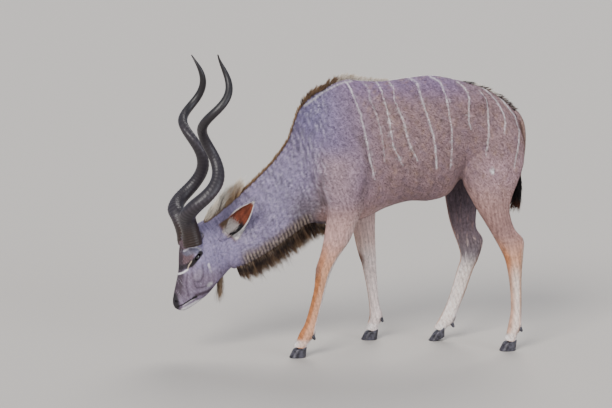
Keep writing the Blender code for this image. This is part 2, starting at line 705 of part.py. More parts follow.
# Rows of locks: where their roots run, how many, how long from the first to the last, width, thickness,
# the way that they grow as shares of (along the row, off the skin), their bend, and how deep they are sunk.
Row = namedtuple("Row", "line count lengths wide thick grow bend sunk side")

CREST = ((-0.600, 0.800), (-0.580, 0.820), (-0.475, 0.912), (-0.375, 1.012), (-0.300, 1.120), (-0.222, 1.290))
NECK_MANE = Row(CREST, 19, (0.112, 0.105, 0.080, 0.048, 0.034, 0.030, 0.042), 0.034, 0.019, (0.65, 0.85),
                (0.05, 0.0, 0.0), 0.012, 0.0)
POLL_MANE = Row(((-0.684, 0.738), (-0.634, 0.776)), 4, (0.070, 0.090, 0.100), 0.030, 0.020, (0.10, 1.0),
                (0.0, 0.0, 0.0), 0.012, -0.008)
WITHERS_MANE = Row(((-0.192, 1.318), (-0.138, 1.355), (-0.020, 1.430), (0.090, 1.428), (0.195, 1.421)), 14,
                   (0.048, 0.054, 0.052, 0.036, 0.028, 0.022), 0.040, 0.018, (0.25, 1.0), (0.20, 0.0, -0.10), 0.012, 0.0)
CROUP_MANE = Row(((0.640, 1.408), (0.740, 1.373), (0.830, 1.318), (0.892, 1.255)), 9, (0.030, 0.034, 0.032),
                 0.034, 0.020, (1.0, 0.75), (0.10, 0.0, -0.10), 0.010, 0.0)
THROAT = Row(((-0.552, 0.452), (-0.430, 0.514), (-0.310, 0.590), (-0.222, 0.650)), 19,
             (0.058, 0.095, 0.110, 0.108, 0.104), 0.036, 0.020, (0.30, -1.0), (0.22, 0.0, 0.05), 0.014, 0.004)
BREAST = Row(((-0.180, 0.690), (-0.118, 0.678)), 4, (0.100, 0.080, 0.055), 0.034, 0.020, (0.35, -1.0),
             (0.22, 0.0, 0.05), 0.016, 0.0)
JAW = Row(((-0.676, 0.392), (-0.646, 0.398)), 4, (0.085, 0.110, 0.090), 0.022, 0.018, (0.05, -1.0),
          (0.10, 0.0, 0.0), 0.014, 0.0)


def make_row(row, seed, place=None):
    """A row of overlapping locks, leaning a little to one side and the other in turn."""
    chance = random.Random(seed)
    made = []
    for i in range(row.count):
        t = (i + 0.5) / row.count
        point, along = line_point(row.line, t)
        off = Vector((-along.z, 0, along.x))
        lean = (0.16 if i % 2 else -0.16) + chance.uniform(-0.05, 0.05)
        way = along * row.grow[0] + off * row.grow[1] + Vector((0, lean, 0)) + along * chance.uniform(-0.12, 0.12)
        way.normalize()
        size = spline(row.lengths, t * (len(row.lengths) - 1)) * chance.uniform(0.86, 1.08) + row.sunk
        root = point - way * row.sunk + Vector((0, row.side + (0.004 if i % 2 else -0.004), 0))
        lock = make_lock(root, way, along, size, row.wide * chance.uniform(0.9, 1.1), row.thick, row.bend)
        if place:
            lock.data.transform(place)
        made.append(lock)
    return made


def tail_locks():
    """The dark tuft: locks round the lower tail that hang past its end."""
    made = []
    for i, (height, angle) in enumerate((h, a) for h in (0.930, 0.845) for a in (20, 140, 260)):
        turn = math.radians(angle + 60 * (i // 3))
        out = Vector((math.cos(turn), math.sin(turn), 0))
        middle = Vector((0.928, 0, height)) + Vector((-0.010, 0, 0)) * (0.930 - height) / 0.12
        made.append(make_lock(middle + out * 0.007, out * 0.22 + Vector((-0.05, 0, -1)), Vector((0, 0, 1)).cross(out),
                              0.125 - 0.025 * (i // 3), 0.028, 0.015, -out * 0.16))
    return made


def make_lids(side):
    """The folds above and below an eye, as one ring that is sunk in the head."""
    x, y, z = EYE_PLACE
    long, high = Vector((0.60, 0, 0.80)), Vector((-0.80, 0, 0.60))
    ring = []
    for k in range(14):
        angle = 2 * math.pi * k / 14
        u, v = 0.0235 * math.cos(angle), 0.0142 * math.sin(angle) * (1 - 0.30 * math.cos(angle) ** 2)
        ring.append(Vector((x, side * (y + 0.0215), z)) + long * u + high * v)
    bm = bmesh.new()
    loops = []
    for k, point in enumerate(ring):
        way = (ring[(k + 1) % 14] - ring[k - 1]).normalized()
        out = Vector((0, side, 0))
        across = way.cross(out)
        thick = 0.0052 if point.z - z > 0 else 0.0042
        loops.append([bm.verts.new(point + out * (thick * math.cos(a)) + across * (thick * 0.8 * math.sin(a)))
                      for a in (2 * math.pi * j / 6 for j in range(6))])
    for k in range(14):
        for j in range(6):
            n, m = (k + 1) % 14, (j + 1) % 6
            bm.faces.new((loops[k][j], loops[k][m], loops[n][m], loops[n][j]))
    bm.transform(head_place())
    return new_object("lids", mesh_from(bm, "lids"))


def make_mouth():
    """The line of the mouth, as a thin plate that is cut from the muzzle."""
    bm = bmesh.new()
    rings = []
    for x, z in ((-0.925, 0.268), (-0.895, 0.266), (-0.868, 0.275), (-0.842, 0.292), (-0.818, 0.303), (-0.802, 0.306)):
        thick = 0.0022 if x < -0.81 else 0.0008
        rings.append([Vector((x, y, z + lift)) for y, lift in ((-0.09, thick), (0.09, thick), (0.09, -thick), (-0.09, -thick))])
    add_tube(bm, rings)
    plate = new_object("mouth", mesh_from(bm, "mouth"))
    core = bmesh.new()  # only the lips part: the plate stops 4 mm below their skin
    add_loft(core, [Section(
        (s.top[0] + (s.bottom[0] - s.top[0]) * 0.04, s.top[1] + (s.bottom[1] - s.top[1]) * 0.04),
        (s.bottom[0] - (s.bottom[0] - s.top[0]) * 0.04, s.bottom[1] - (s.bottom[1] - s.top[1]) * 0.04),
        s.side, s.half - 0.005, s.taper) for s in HEAD[6:]], 20, 3)
    boolean(plate, [new_object("core", mesh_from(core, "core"))], "DIFFERENCE")
    plate.data.transform(head_place())
    return plate


def make_nostril(side):
    """A comma-shaped nostril that is cut from the muzzle."""
    rings = []
    for t in (-1.0, -0.45, 0.3, 1.0):
        centre = Vector((-0.901 + 0.004 * t, side * (0.030 + 0.016 * t), 0.291 + 0.002 * t))
        wide = 0.0088 + 0.0040 * t
        rings.append([centre + Vector((0.35, 0, -0.94)) * (wide * math.cos(a)) + Vector((0.94, 0, 0.35)) * (wide * 0.5 * math.sin(a))
                      for a in (2 * math.pi * k / 10 for k in range(10))])
    bm = bmesh.new()
    add_tube(bm, rings)
    bm.transform(head_place())
    return new_object("nostril", mesh_from(bm, "nostril"))


def main():
    clear_scene()
    flesh = make_flesh()
    nape = ((-0.632, -0.3, 1.06), (0, 0.6, 0), (0.13, 0, -0.80))
    neck_base = ((-0.205, -0.3, 1.6), (0, 0.6, 0), (0, 0, -1.2))
    head = part_off(flesh, "head", nape, (-0.6, 0, -0.1))
    neck = part_off(flesh, "neck", neck_base, (-0.7, 0, 0))
    legs = {}
    for name in LEGS:
        side = -1 if "left" in name else 1
        if "front" in name:
            plane = ((-0.32, side * 0.04, 0.630), (0.62, 0, 0), (0, side * 0.24, 0.264))
        else:
            plane = ((0.50, side * 0.01, 0.752), (0.55, 0, 0.157), (0, side * 0.26, 0.169))
        legs[name] = part_off(flesh, name, plane, (0, 0, -1.0))
    torso = flesh
    torso.name = "torso"

    for name, leg in legs.items():
        top_place, _ = foot_plane(name)
        cutter = bmesh.new()
        bmesh.ops.create_cube(cutter, size=1.0, matrix=top_place @ Matrix.Translation((0, 0, -0.1)) @ Matrix.Diagonal((0.2, 0.2, 0.2, 1)))
        boolean(leg, [new_object("cutter", mesh_from(cutter, "cutter"))], "DIFFERENCE")
        keep_largest(leg)
        for letter, side in (("left", -1), ("right", 1)):
            make_claw(f"{name.replace('leg', 'claw')}_{letter}", name, side)
        sockets = []
        for letter, side in (("left", -1), ("right", 1)):
            claw = make_dewclaw(f"{name.replace('leg', 'dewclaw')}_{letter}", name, side, DEWCLAWS[name], 0.015)
            sockets.append(copy_of(claw, "socket", GAP))
        boolean(leg, sockets, "DIFFERENCE")
        keep_largest(leg)
        tidy(leg, "leg_coat")

    boolean(head, [make_lids(-1), make_lids(1), *make_row(POLL_MANE, 3), *make_row(JAW, 4, head_place())], "UNION")
    boolean(head, [make_mouth(), make_nostril(-1), make_nostril(1)], "DIFFERENCE")
    boolean(head, [add_block(*nape, (-0.6, 0, -0.1))], "INTERSECT")
    for letter, side in (("left", -1), ("right", 1)):
        for make, kind in ((make_horn, "horn"), (make_ear, "ear"), (make_eye, "eye")):
            piece = make(f"{kind}_{letter}", side)
            if kind == "ear":
                boolean(head, [make_ear("stub", side, 2 * GAP)], "DIFFERENCE")
            if kind == "eye":
                boolean(head, [make_eye_opening(side)], "DIFFERENCE")
            boolean(head, [copy_of(piece, "socket", GAP)], "DIFFERENCE")
    keep_largest(head)
    tidy(head, "neck_coat")

    boolean(neck, [*make_row(NECK_MANE, 1), *make_row(THROAT, 2)], "UNION")
    boolean(neck, [add_block(*nape, (-0.6, 0, -0.1), GAP)], "DIFFERENCE")
    boolean(neck, [add_block(*neck_base, (0.7, 0, 0))], "DIFFERENCE")
    keep_largest(neck)
    for side in (-1, 1):
        letter = "left" if side < 0 else "right"
        for kind in ("ear", "horn"):
            boolean(neck, [copy_of(bpy.data.objects[f"{kind}_{letter}"], "socket", 2 * GAP)], "DIFFERENCE")
    keep_largest(neck)
    tidy(neck, "neck_coat")

    boolean(torso, [*make_row(WITHERS_MANE, 5), *make_row(CROUP_MANE, 6), *make_row(BREAST, 7)], "UNION")
    boolean(torso, [add_block(*neck_base, (-0.7, 0, 0), GAP)], "DIFFERENCE")
    tail = make_tail("tail")
    boolean(tail, tail_locks(), "UNION")
    boolean(torso, [copy_of(tail, "socket", GAP)], "DIFFERENCE")
    keep_largest(torso)
    tidy(torso, "coat")
    tidy(tail, "coat")

    for thing in bpy.data.objects:
        thing.data.transform(Matrix.Translation(-ORIGIN))


main()
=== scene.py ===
"""Greater kudu bull, grazing with its head low: how the model looks.

One skin covers the flesh, with short hair over it in solid tufts, and long hair in solid strands on the
crest, throat, jaw, croup and tail. Lengths are metres in the frame of the parts, before ORIGIN is taken off.
"""

import math
from collections import namedtuple

import bmesh
import bpy
import numpy as np
from mathutils import Matrix, Vector
from mathutils.kdtree import KDTree


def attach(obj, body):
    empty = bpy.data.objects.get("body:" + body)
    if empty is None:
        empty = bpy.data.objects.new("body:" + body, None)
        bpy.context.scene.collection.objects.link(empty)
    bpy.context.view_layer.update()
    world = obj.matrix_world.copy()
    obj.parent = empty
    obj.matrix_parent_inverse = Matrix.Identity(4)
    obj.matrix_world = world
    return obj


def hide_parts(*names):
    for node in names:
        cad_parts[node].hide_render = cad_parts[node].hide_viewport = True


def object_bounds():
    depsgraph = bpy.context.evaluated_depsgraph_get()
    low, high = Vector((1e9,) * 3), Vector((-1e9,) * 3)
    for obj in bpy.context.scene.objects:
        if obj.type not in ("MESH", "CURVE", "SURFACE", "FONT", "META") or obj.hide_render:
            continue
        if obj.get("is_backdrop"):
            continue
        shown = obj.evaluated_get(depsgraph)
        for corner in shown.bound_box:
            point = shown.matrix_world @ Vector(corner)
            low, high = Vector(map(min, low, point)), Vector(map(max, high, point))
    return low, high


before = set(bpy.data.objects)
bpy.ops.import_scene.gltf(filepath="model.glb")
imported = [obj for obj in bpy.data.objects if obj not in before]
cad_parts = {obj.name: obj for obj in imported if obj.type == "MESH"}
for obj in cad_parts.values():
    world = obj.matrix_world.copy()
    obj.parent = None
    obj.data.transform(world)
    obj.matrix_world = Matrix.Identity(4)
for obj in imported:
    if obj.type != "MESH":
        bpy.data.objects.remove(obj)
cad_low, cad_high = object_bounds()

# The skin. On the animal it is hide over muscle and bone. It is one surface from muzzle to coronets, so that
# no seam shows, and it lies just inside the parts, by the depth of its hair.
ORIGIN = Vector((0.0213, 0.0690, 0.0))  # the middle of its length and width, on the ground
HEAD_YAW = math.radians(11.1)  # the head turns a little to the animal's left
HEAD_ROLL = math.radians(-4.9)
HEAD_PIVOT = Vector((-0.82, 0.0, 0.50))
HEAD_SHIFT = Vector((0.0, -0.022, 0.0))

# A cross-section: top and bottom are (x, z) points on its outline, side is the y of its middle, half is
# half its width, and taper narrows it towards the top (above 0) or towards the bottom (below 0).
Section = namedtuple("Section", "top bottom side half taper")

TORSO = (
    Section((-0.215, 1.14), (-0.195, 0.84), 0, 0.070, 0.1),  # front of the chest
    Section((-0.140, 1.350), (-0.165, 0.715), 0, 0.130, 0.25),
    Section((-0.02, 1.428), (-0.07, 0.668), 0, 0.168, 0.35),  # withers and breast
    Section((0.09, 1.424), (0.08, 0.690), 0, 0.188, 0.34),
    Section((0.20, 1.421), (0.21, 0.750), 0, 0.205, 0.26),  # behind the elbow
    Section((0.32, 1.436), (0.33, 0.783), 0, 0.222, 0.20),
    Section((0.44, 1.447), (0.44, 0.783), 0, 0.226, 0.18),  # deepest of the belly
    Section((0.55, 1.430), (0.535, 0.812), 0, 0.208, 0.16),
    Section((0.65, 1.402), (0.61, 0.892), 0, 0.182, 0.12),  # flank
    Section((0.74, 1.372), (0.73, 0.895), 0, 0.172, 0.14),  # croup
    Section((0.83, 1.315), (0.83, 0.895), 0, 0.150, 0.16),
    Section((0.895, 1.25), (0.90, 0.955), 0, 0.108, 0.15),
    Section((0.932, 1.16), (0.932, 1.03), 0, 0.045, 0.0),  # seat
)
NECK = (
    Section((0.06, 1.345), (0.10, 0.80), 0, 0.120, 0.2),  # inside the chest
    Section((-0.125, 1.376), (0.00, 0.688), 0, 0.142, 0.3),
    Section((-0.238, 1.282), (-0.095, 0.668), 0, 0.136, 0.32),
    Section((-0.300, 1.120), (-0.190, 0.672), 0, 0.122, 0.30),
    Section((-0.375, 1.012), (-0.265, 0.622), 0, 0.112, 0.28),
    Section((-0.475, 0.912), (-0.345, 0.565), 0, 0.100, 0.30),
    Section((-0.580, 0.820), (-0.430, 0.508), 0.005, 0.090, 0.34),
    Section((-0.672, 0.745), (-0.520, 0.456), 0.010, 0.080, 0.30),
    Section((-0.735, 0.700), (-0.590, 0.440), 0.012, 0.072, 0.20),  # inside the skull
)
HEAD = (
    Section((-0.700, 0.715), (-0.560, 0.500), 0, 0.060, 0.0),  # nape
    Section((-0.765, 0.688), (-0.590, 0.452), 0, 0.076, 0.0),
    Section((-0.825, 0.640), (-0.615, 0.428), 0, 0.084, -0.12),  # crown and jaw angle
    Section((-0.862, 0.585), (-0.640, 0.402), 0, 0.086, -0.20),
    Section((-0.872, 0.520), (-0.668, 0.375), 0, 0.080, -0.24),  # brow
    Section((-0.876, 0.460), (-0.698, 0.342), 0, 0.066, -0.16),
    Section((-0.886, 0.410), (-0.728, 0.312), 0, 0.055, -0.10),
    Section((-0.898, 0.365), (-0.762, 0.286), 0, 0.048, 0.0),
    Section((-0.908, 0.325), (-0.798, 0.264), 0, 0.043, 0.05),
    Section((-0.914, 0.293), (-0.832, 0.246), 0, 0.041, 0.05),  # nostrils and chin
    Section((-0.911, 0.268), (-0.856, 0.238), 0, 0.034, 0.0),
    Section((-0.901, 0.250), (-0.876, 0.238), 0, 0.018, 0.0),  # tip of the muzzle
)
# In the legs, top is the front of the section and bottom is its back.
LEG_FRONT_LEFT = (
    Section((-0.08, 1.25), (0.07, 1.28), -0.085, 0.030, 0.0),  # top of the shoulder blade
    Section((-0.15, 1.08), (0.11, 1.13), -0.112, 0.050, 0.0),
    Section((-0.180, 0.93), (0.13, 0.97), -0.125, 0.066, 0.0),  # point of the shoulder
    Section((-0.145, 0.83), (0.115, 0.86), -0.135, 0.062, 0.0),
    Section((-0.116, 0.76), (0.083, 0.785), -0.142, 0.054, 0.0),  # elbow
    Section((-0.122, 0.685), (0.042, 0.695), -0.148, 0.047, 0.0),
    Section((-0.134, 0.605), (0.004, 0.605), -0.150, 0.040, 0.0),
    Section((-0.152, 0.530), (-0.052, 0.525), -0.152, 0.034, 0.0),
    Section((-0.174, 0.465), (-0.088, 0.455), -0.154, 0.034, 0.0),  # knee
    Section((-0.178, 0.415), (-0.106, 0.408), -0.156, 0.029, 0.1),
    Section((-0.185, 0.350), (-0.124, 0.345), -0.158, 0.0225, 0.1),
    Section((-0.207, 0.260), (-0.147, 0.252), -0.161, 0.021, 0.1),  # cannon
    Section((-0.231, 0.180), (-0.168, 0.168), -0.163, 0.0225, 0.1),
    Section((-0.259, 0.128), (-0.178, 0.112), -0.165, 0.029, 0.0),  # fetlock
    Section((-0.276, 0.090), (-0.207, 0.074), -0.166, 0.025, 0.0),
    Section((-0.294, 0.056), (-0.222, 0.041), -0.167, 0.031, 0.0),  # coronet
)
LEG_FRONT_RIGHT = (
    Section((-0.06, 1.25), (0.09, 1.28), 0.085, 0.030, 0.0),
    Section((-0.12, 1.08), (0.13, 1.13), 0.112, 0.050, 0.0),
    Section((-0.140, 0.93), (0.155, 0.97), 0.125, 0.066, 0.0),
    Section((-0.075, 0.83), (0.175, 0.86), 0.135, 0.060, 0.0),
    Section((-0.005, 0.76), (0.188, 0.785), 0.142, 0.052, 0.0),
    Section((0.040, 0.690), (0.187, 0.695), 0.148, 0.046, 0.0),
    Section((0.064, 0.605), (0.186, 0.605), 0.152, 0.040, 0.0),
    Section((0.082, 0.525), (0.189, 0.520), 0.155, 0.034, 0.0),
    Section((0.100, 0.460), (0.193, 0.452), 0.158, 0.034, 0.0),  # knee
    Section((0.116, 0.412), (0.195, 0.408), 0.160, 0.029, 0.1),
    Section((0.131, 0.345), (0.199, 0.343), 0.162, 0.0225, 0.1),
    Section((0.144, 0.278), (0.205, 0.275), 0.164, 0.021, 0.1),  # cannon
    Section((0.156, 0.200), (0.214, 0.195), 0.166, 0.0225, 0.1),
    Section((0.160, 0.132), (0.234, 0.120), 0.168, 0.029, 0.0),  # fetlock
    Section((0.150, 0.090), (0.212, 0.076), 0.169, 0.025, 0.0),
    Section((0.138, 0.056), (0.206, 0.041), 0.170, 0.031, 0.0),  # coronet
)
LEG_HIND_LEFT = (
    Section((0.63, 1.27), (0.80, 1.29), -0.080, 0.040, 0.0),  # hip
    Section((0.60, 1.13), (0.915, 1.15), -0.096, 0.070, 0.0),
    Section((0.588, 1.00), (0.930, 1.01), -0.108, 0.078, -0.1),  # thigh
    Section((0.600, 0.895), (0.902, 0.91), -0.118, 0.074, -0.1),
    Section((0.645, 0.805), (0.868, 0.825), -0.126, 0.063, -0.15),  # stifle
    Section((0.681, 0.742), (0.851, 0.752), -0.131, 0.053, -0.22),
    Section((0.720, 0.680), (0.862, 0.690), -0.135, 0.044, -0.30),
    Section((0.757, 0.618), (0.884, 0.640), -0.138, 0.034, -0.34),
    Section((0.798, 0.545), (0.927, 0.588), -0.141, 0.034, -0.15),  # hock
    Section((0.826, 0.485), (0.925, 0.500), -0.144, 0.031, -0.05),
    Section((0.842, 0.415), (0.919, 0.420), -0.147, 0.025, 0.0),
    Section((0.855, 0.325), (0.918, 0.328), -0.150, 0.022, 0.1),  # cannon
    Section((0.860, 0.215), (0.920, 0.212), -0.153, 0.0225, 0.1),
    Section((0.848, 0.138), (0.922, 0.126), -0.155, 0.028, 0.0),  # fetlock
    Section((0.838, 0.092), (0.899, 0.078), -0.156, 0.024, 0.0),
    Section((0.826, 0.056), (0.890, 0.041), -0.157, 0.030, 0.0),  # coronet
)
LEG_HIND_RIGHT = (
    Section((0.62, 1.27), (0.80, 1.29), 0.080, 0.040, 0.0),
    Section((0.575, 1.13), (0.905, 1.15), 0.096, 0.070, 0.0),
    Section((0.545, 1.00), (0.895, 1.01), 0.106, 0.078, -0.1),
    Section((0.540, 0.895), (0.840, 0.91), 0.112, 0.074, -0.1),
    Section((0.552, 0.800), (0.778, 0.82), 0.116, 0.063, -0.15),  # stifle
    Section((0.566, 0.725), (0.738, 0.742), 0.118, 0.053, -0.22),
    Section((0.580, 0.660), (0.728, 0.675), 0.119, 0.044, -0.30),
    Section((0.602, 0.590), (0.732, 0.608), 0.119, 0.034, -0.34),
    Section((0.634, 0.505), (0.767, 0.545), 0.118, 0.034, -0.15),  # hock
    Section((0.644, 0.446), (0.748, 0.455), 0.117, 0.031, -0.05),
    Section((0.626, 0.382), (0.713, 0.375), 0.115, 0.025, 0.0),
    Section((0.597, 0.280), (0.674, 0.262), 0.112, 0.022, 0.1),  # cannon
    Section((0.566, 0.190), (0.636, 0.165), 0.109, 0.0225, 0.1),
    Section((0.536, 0.128), (0.612, 0.094), 0.107, 0.028, 0.0),  # fetlock
    Section((0.516, 0.095), (0.574, 0.068), 0.106, 0.024, 0.0),
    Section((0.498, 0.068), (0.560, 0.044), 0.105, 0.029, 0.0),  # coronet
)
LEGS = {
    "leg_front_left": LEG_FRONT_LEFT,
    "leg_front_right": LEG_FRONT_RIGHT,
    "leg_hind_left": LEG_HIND_LEFT,
    "leg_hind_right": LEG_HIND_RIGHT,
}

# Muscle and bone that stand out of the lofts: centre, half sizes, and turn about Y in degrees.
SWELLINGS = (
    ((-0.115, -0.135, 0.945), (0.070, 0.050, 0.085), -25),  # points of the shoulders
    ((-0.095, 0.135, 0.945), (0.070, 0.050, 0.085), -25),
    ((0.040, -0.158, 0.930), (0.066, 0.052, 0.150), 22),  # triceps
    ((0.070, 0.158, 0.930), (0.066, 0.052, 0.150), 10),
    ((0.800, -0.120, 1.050), (0.110, 0.062, 0.150), 0),  # thighs
    ((0.780, 0.120, 1.050), (0.110, 0.062, 0.150), 0),
    ((0.650, -0.112, 1.300), (0.085, 0.045, 0.070), 20),  # hip bones
    ((0.650, 0.112, 1.300), (0.085, 0.045, 0.070), 20),
)

TAIL = (
    Section((0.895, 1.262), (0.880, 1.225), 0, 0.016, 0.0),  # root, inside the rump
    Section((0.925, 1.240), (0.902, 1.205), 0, 0.022, 0.0),
    Section((0.954, 1.180), (0.925, 1.165), 0, 0.023, 0.0),
    Section((0.963, 1.095), (0.935, 1.092), 0, 0.021, 0.0),
    Section((0.956, 1.000), (0.930, 0.998), 0, 0.018, 0.0),
    Section((0.943, 0.925), (0.919, 0.922), 0, 0.018, 0.0),
    Section((0.938, 0.865), (0.910, 0.860), 0, 0.022, 0.0),
    Section((0.933, 0.800), (0.904, 0.796), 0, 0.021, 0.0),
    Section((0.921, 0.738), (0.909, 0.735), 0, 0.007, 0.0),
)


def spline(values, place):
    """A Catmull-Rom value at place, which counts along the values from 0."""
    last = len(values) - 1
    i = min(int(place), last - 1)
    t = place - i
    before, start, end, after = (values[max(0, min(last, i + k))] for k in (-1, 0, 1, 2))
    return start + 0.5 * t * (
        end - before + t * (2 * before - 5 * start + 4 * end - after + t * (3 * (start - end) + after - before))
    )


def section_at(sections, place):
    """The section at a place along a part, smoothed between the named ones."""
    rows = [(*s.top, *s.bottom, s.side, s.half, s.taper) for s in sections]
    x1, z1, x2, z2, side, half, taper = (spline(column, place) for column in zip(*rows))
    return Section((x1, z1), (x2, z2), side, max(half, 0.004), taper)


def ring_point(section, angle):
    """A point on a section's outline: angle 0 is its top, and pi is its bottom."""
    rise, out = math.cos(angle), math.sin(angle)
    top, bottom = Vector((section.top[0], 0, section.top[1])), Vector((section.bottom[0], 0, section.bottom[1]))
    point = (top + bottom) / 2 + (top - bottom) / 2 * rise
    point.y = section.side + section.half * out * (1 - section.taper * rise)
    return point


def add_tube(bm, rings):
    """Joins rings of points into one closed tube."""
    loops = [[bm.verts.new(point) for point in points] for points in rings]
    count = len(loops[0])
    for first, second in zip(loops, loops[1:]):
        for k in range(count):
            n = (k + 1) % count
            bm.faces.new((first[k], first[n], second[n], second[k]))
    bm.faces.new(reversed(loops[0]))
    bm.faces.new(loops[-1])


def add_loft(bm, sections, sides=28, steps=5):
    """Adds a closed loft through a part's sections."""
    count = (len(sections) - 1) * steps
    angles = [2 * math.pi * k / sides for k in range(sides)]
    rings = []
    for i in range(count + 1):
        section = section_at(sections, i / steps)
        rings.append([ring_point(section, a) for a in angles])
    add_tube(bm, rings)


def add_ellipsoid(bm, centre, radii, turn_y=0.0, segments=24):
    """Adds an ellipsoid with its half sizes, turned about Y."""
    place = (
        Matrix.Translation(centre)
        @ Matrix.Rotation(math.radians(turn_y), 4, "Y")
        @ Matrix.Diagonal((*radii, 1.0))
    )
    bmesh.ops.create_uvsphere(bm, u_segments=segments, v_segments=segments // 2, radius=1.0, matrix=place)


def head_place():
    """Turns a piece from the head's own upright frame to its pose."""
    turn = Matrix.Rotation(HEAD_YAW, 4, "Z") @ Matrix.Rotation(HEAD_ROLL, 4, "X")
    return Matrix.Translation(HEAD_PIVOT + HEAD_SHIFT) @ turn @ Matrix.Translation(-HEAD_PIVOT)


def mesh_of(bm, name):
    """A mesh of triangles that face outwards; the bmesh is freed."""
    bmesh.ops.triangulate(bm, faces=bm.faces[:])
    bm.normal_update()
    bmesh.ops.recalc_face_normals(bm, faces=bm.faces[:])
    mesh = bpy.data.meshes.new(name)
    bm.to_mesh(mesh)
    bm.free()
    return mesh


def baked(thing):
    """The mesh that an object's modifiers make; the object is removed."""
    graph = bpy.context.evaluated_depsgraph_get()
    mesh = bpy.data.meshes.new_from_object(thing.evaluated_get(graph))
    bpy.data.objects.remove(thing)
    return mesh


def temporary(mesh):
    """An object for a mesh while modifiers work on it."""
    made = bpy.data.objects.new("temporary", mesh)
    bpy.context.scene.collection.objects.link(made)
    return made


def cut_or_join(mesh, other, operation):
    """One Boolean of two closed meshes."""
    body, tool = temporary(mesh), temporary(other)
    step = body.modifiers.new("cut", "BOOLEAN")
    step.operation = operation
    step.solver = "MANIFOLD"
    step.object = tool
    made = baked(body)
    bpy.data.objects.remove(tool)
    return made


def ramp(values, low, high):
    """0 below low, 1 above high, and smooth between."""
    t = np.clip((values - low) / (high - low), 0, 1)
    return t * t * (3 - 2 * t)


def turns(count):
    """Even angles round a full turn."""
    return [2 * math.pi * k / count for k in range(count)]


def head_mesh(bm, name):
    """A mesh made in the head's own upright frame, put in its pose."""
    bm.transform(head_place())
    return mesh_of(bm, name)


def head_tube(rings, name):
    """A closed tube of rings in the head's own frame, put in its pose."""
    bm = bmesh.new()
    add_tube(bm, rings)
    return head_mesh(bm, name)


# An ear's half widths and depths from its root to its tip.
EAR_WIDTHS = (0.016, 0.020, 0.031, 0.042, 0.047, 0.046, 0.040, 0.029, 0.016, 0.005)
EAR_DEPTHS = (0.016, 0.020, 0.026, 0.028, 0.026, 0.023, 0.019, 0.014, 0.008, 0.003)
EAR_WALL = 0.0036
EAR_BOW = 0.010


def make_ear(side, steps=30, around=20):
    """A cupped ear with a thin wall, solid at its root, and the lines that its markings follow."""
    root, tip = Vector((-0.652, side * 0.082, 0.618)), Vector((-0.530, side * 0.245, 0.806))
    along = (tip - root).normalized()
    face = Vector((-0.42, side * 1.0, 0.10))
    face = (face - along * face.dot(along)).normalized()
    across = along.cross(face)
    length = (tip - root).length
    rings = []
    for i in range(steps + 1):
        place = i / steps * (len(EAR_WIDTHS) - 1)
        width, depth = spline(EAR_WIDTHS, place), spline(EAR_DEPTHS, place)
        t = -0.10 + 1.10 * i / steps  # it starts inside the skull
        centre = root + along * (length * t) - face * (EAR_BOW * math.sin(math.pi * max(t, 0)))
        hollow = min(1.0, max(0.0, (t - 0.02) / 0.14))
        lift = (1 - hollow) * depth * 0.9
        inner_width = max(width - EAR_WALL, width * 0.5)
        inner_depth = hollow * max(depth - EAR_WALL, depth * 0.35) - lift
        outer, inner = [], []
        for k in range(around):
            a = math.pi * k / (around - 1)
            outer.append(centre + across * (math.cos(a) * width) - face * (math.sin(a) * depth))
        for k in range(1, around - 1):
            a = math.pi * (1 - k / (around - 1))
            inner.append(centre + across * (math.cos(a) * inner_width) - face * (math.sin(a) * inner_depth))
        rings.append(outer + inner)
    turn = head_place().to_3x3()
    return head_tube(rings, "ear"), (head_place() @ root, head_place() @ tip, turn @ face, turn @ across)


# Bone and flesh that stand out of each side of the head: centre, half sizes, and turn about Y in degrees.
HEAD_SWELLINGS = (
    ((-0.805, 0.050, 0.520), (0.050, 0.030, 0.046), 0),  # rim of the eye socket
    ((-0.715, 0.052, 0.440), (0.062, 0.026, 0.075), 20),  # cheek
    ((-0.815, 0.048, 0.585), (0.046, 0.034, 0.040), 0),  # foot of the horn
    ((-0.880, 0.028, 0.285), (0.024, 0.016, 0.030), 0),  # wing of the nostril
)
SKIN_VOXEL = 0.0036
SKIN_TRIANGLES = 176000

bm = bmesh.new()
add_loft(bm, TORSO, 48, 8)
add_loft(bm, NECK, 40, 8)
for sections in LEGS.values():
    add_loft(bm, sections, 32, 8)
for centre, radii, turn in SWELLINGS:
    add_ellipsoid(bm, centre, radii, turn, 32)
head_forms = bmesh.new()
add_loft(head_forms, HEAD, 40, 10)
for side in (-1, 1):
    for (x, y, z), radii, turn in HEAD_SWELLINGS:
        add_ellipsoid(head_forms, (x, side * y, z), radii, turn, 32)
bm.from_mesh(head_mesh(head_forms, "forms"))
body = temporary(mesh_of(bm, "skin"))
step = body.modifiers.new("blend", "REMESH")
step.mode = "VOXEL"
step.voxel_size = SKIN_VOXEL
step = body.modifiers.new("soften", "SMOOTH")
step.factor = 0.5
step.iterations = 18
skin_mesh = baked(body)

body = temporary(skin_mesh)
weights = body.vertex_groups.new(name="coarse")
for vert in skin_mesh.vertices:
    x, y, z = vert.co
    on_face = x < -0.60 and z < 0.75  # it keeps more of its triangles
    weights.add([vert.index], 0.45 if on_face else 1.0, "REPLACE")
step = body.modifiers.new("thin", "DECIMATE")
step.vertex_group = "coarse"
step.vertex_group_factor = 0.02
step.ratio = SKIN_TRIANGLES / sum(len(f.vertices) - 2 for f in skin_mesh.polygons)
skin_mesh = baked(body)

EYE = Vector((-0.792, 0.0575, 0.519))  # the middle of the right one, in the head's own upright frame
EYE_RADIUS = 0.0215
LID_LONG, LID_HIGH = Vector((0.60, 0, 0.80)), Vector((-0.80, 0, 0.60))
# The rings of the lids: half length, half height, thickness, and distance out from the middle of the eye.
LIDS = ((0.0245, 0.0132, 0.0040, 0.0225), (0.0335, 0.0225, 0.0034, 0.0205))
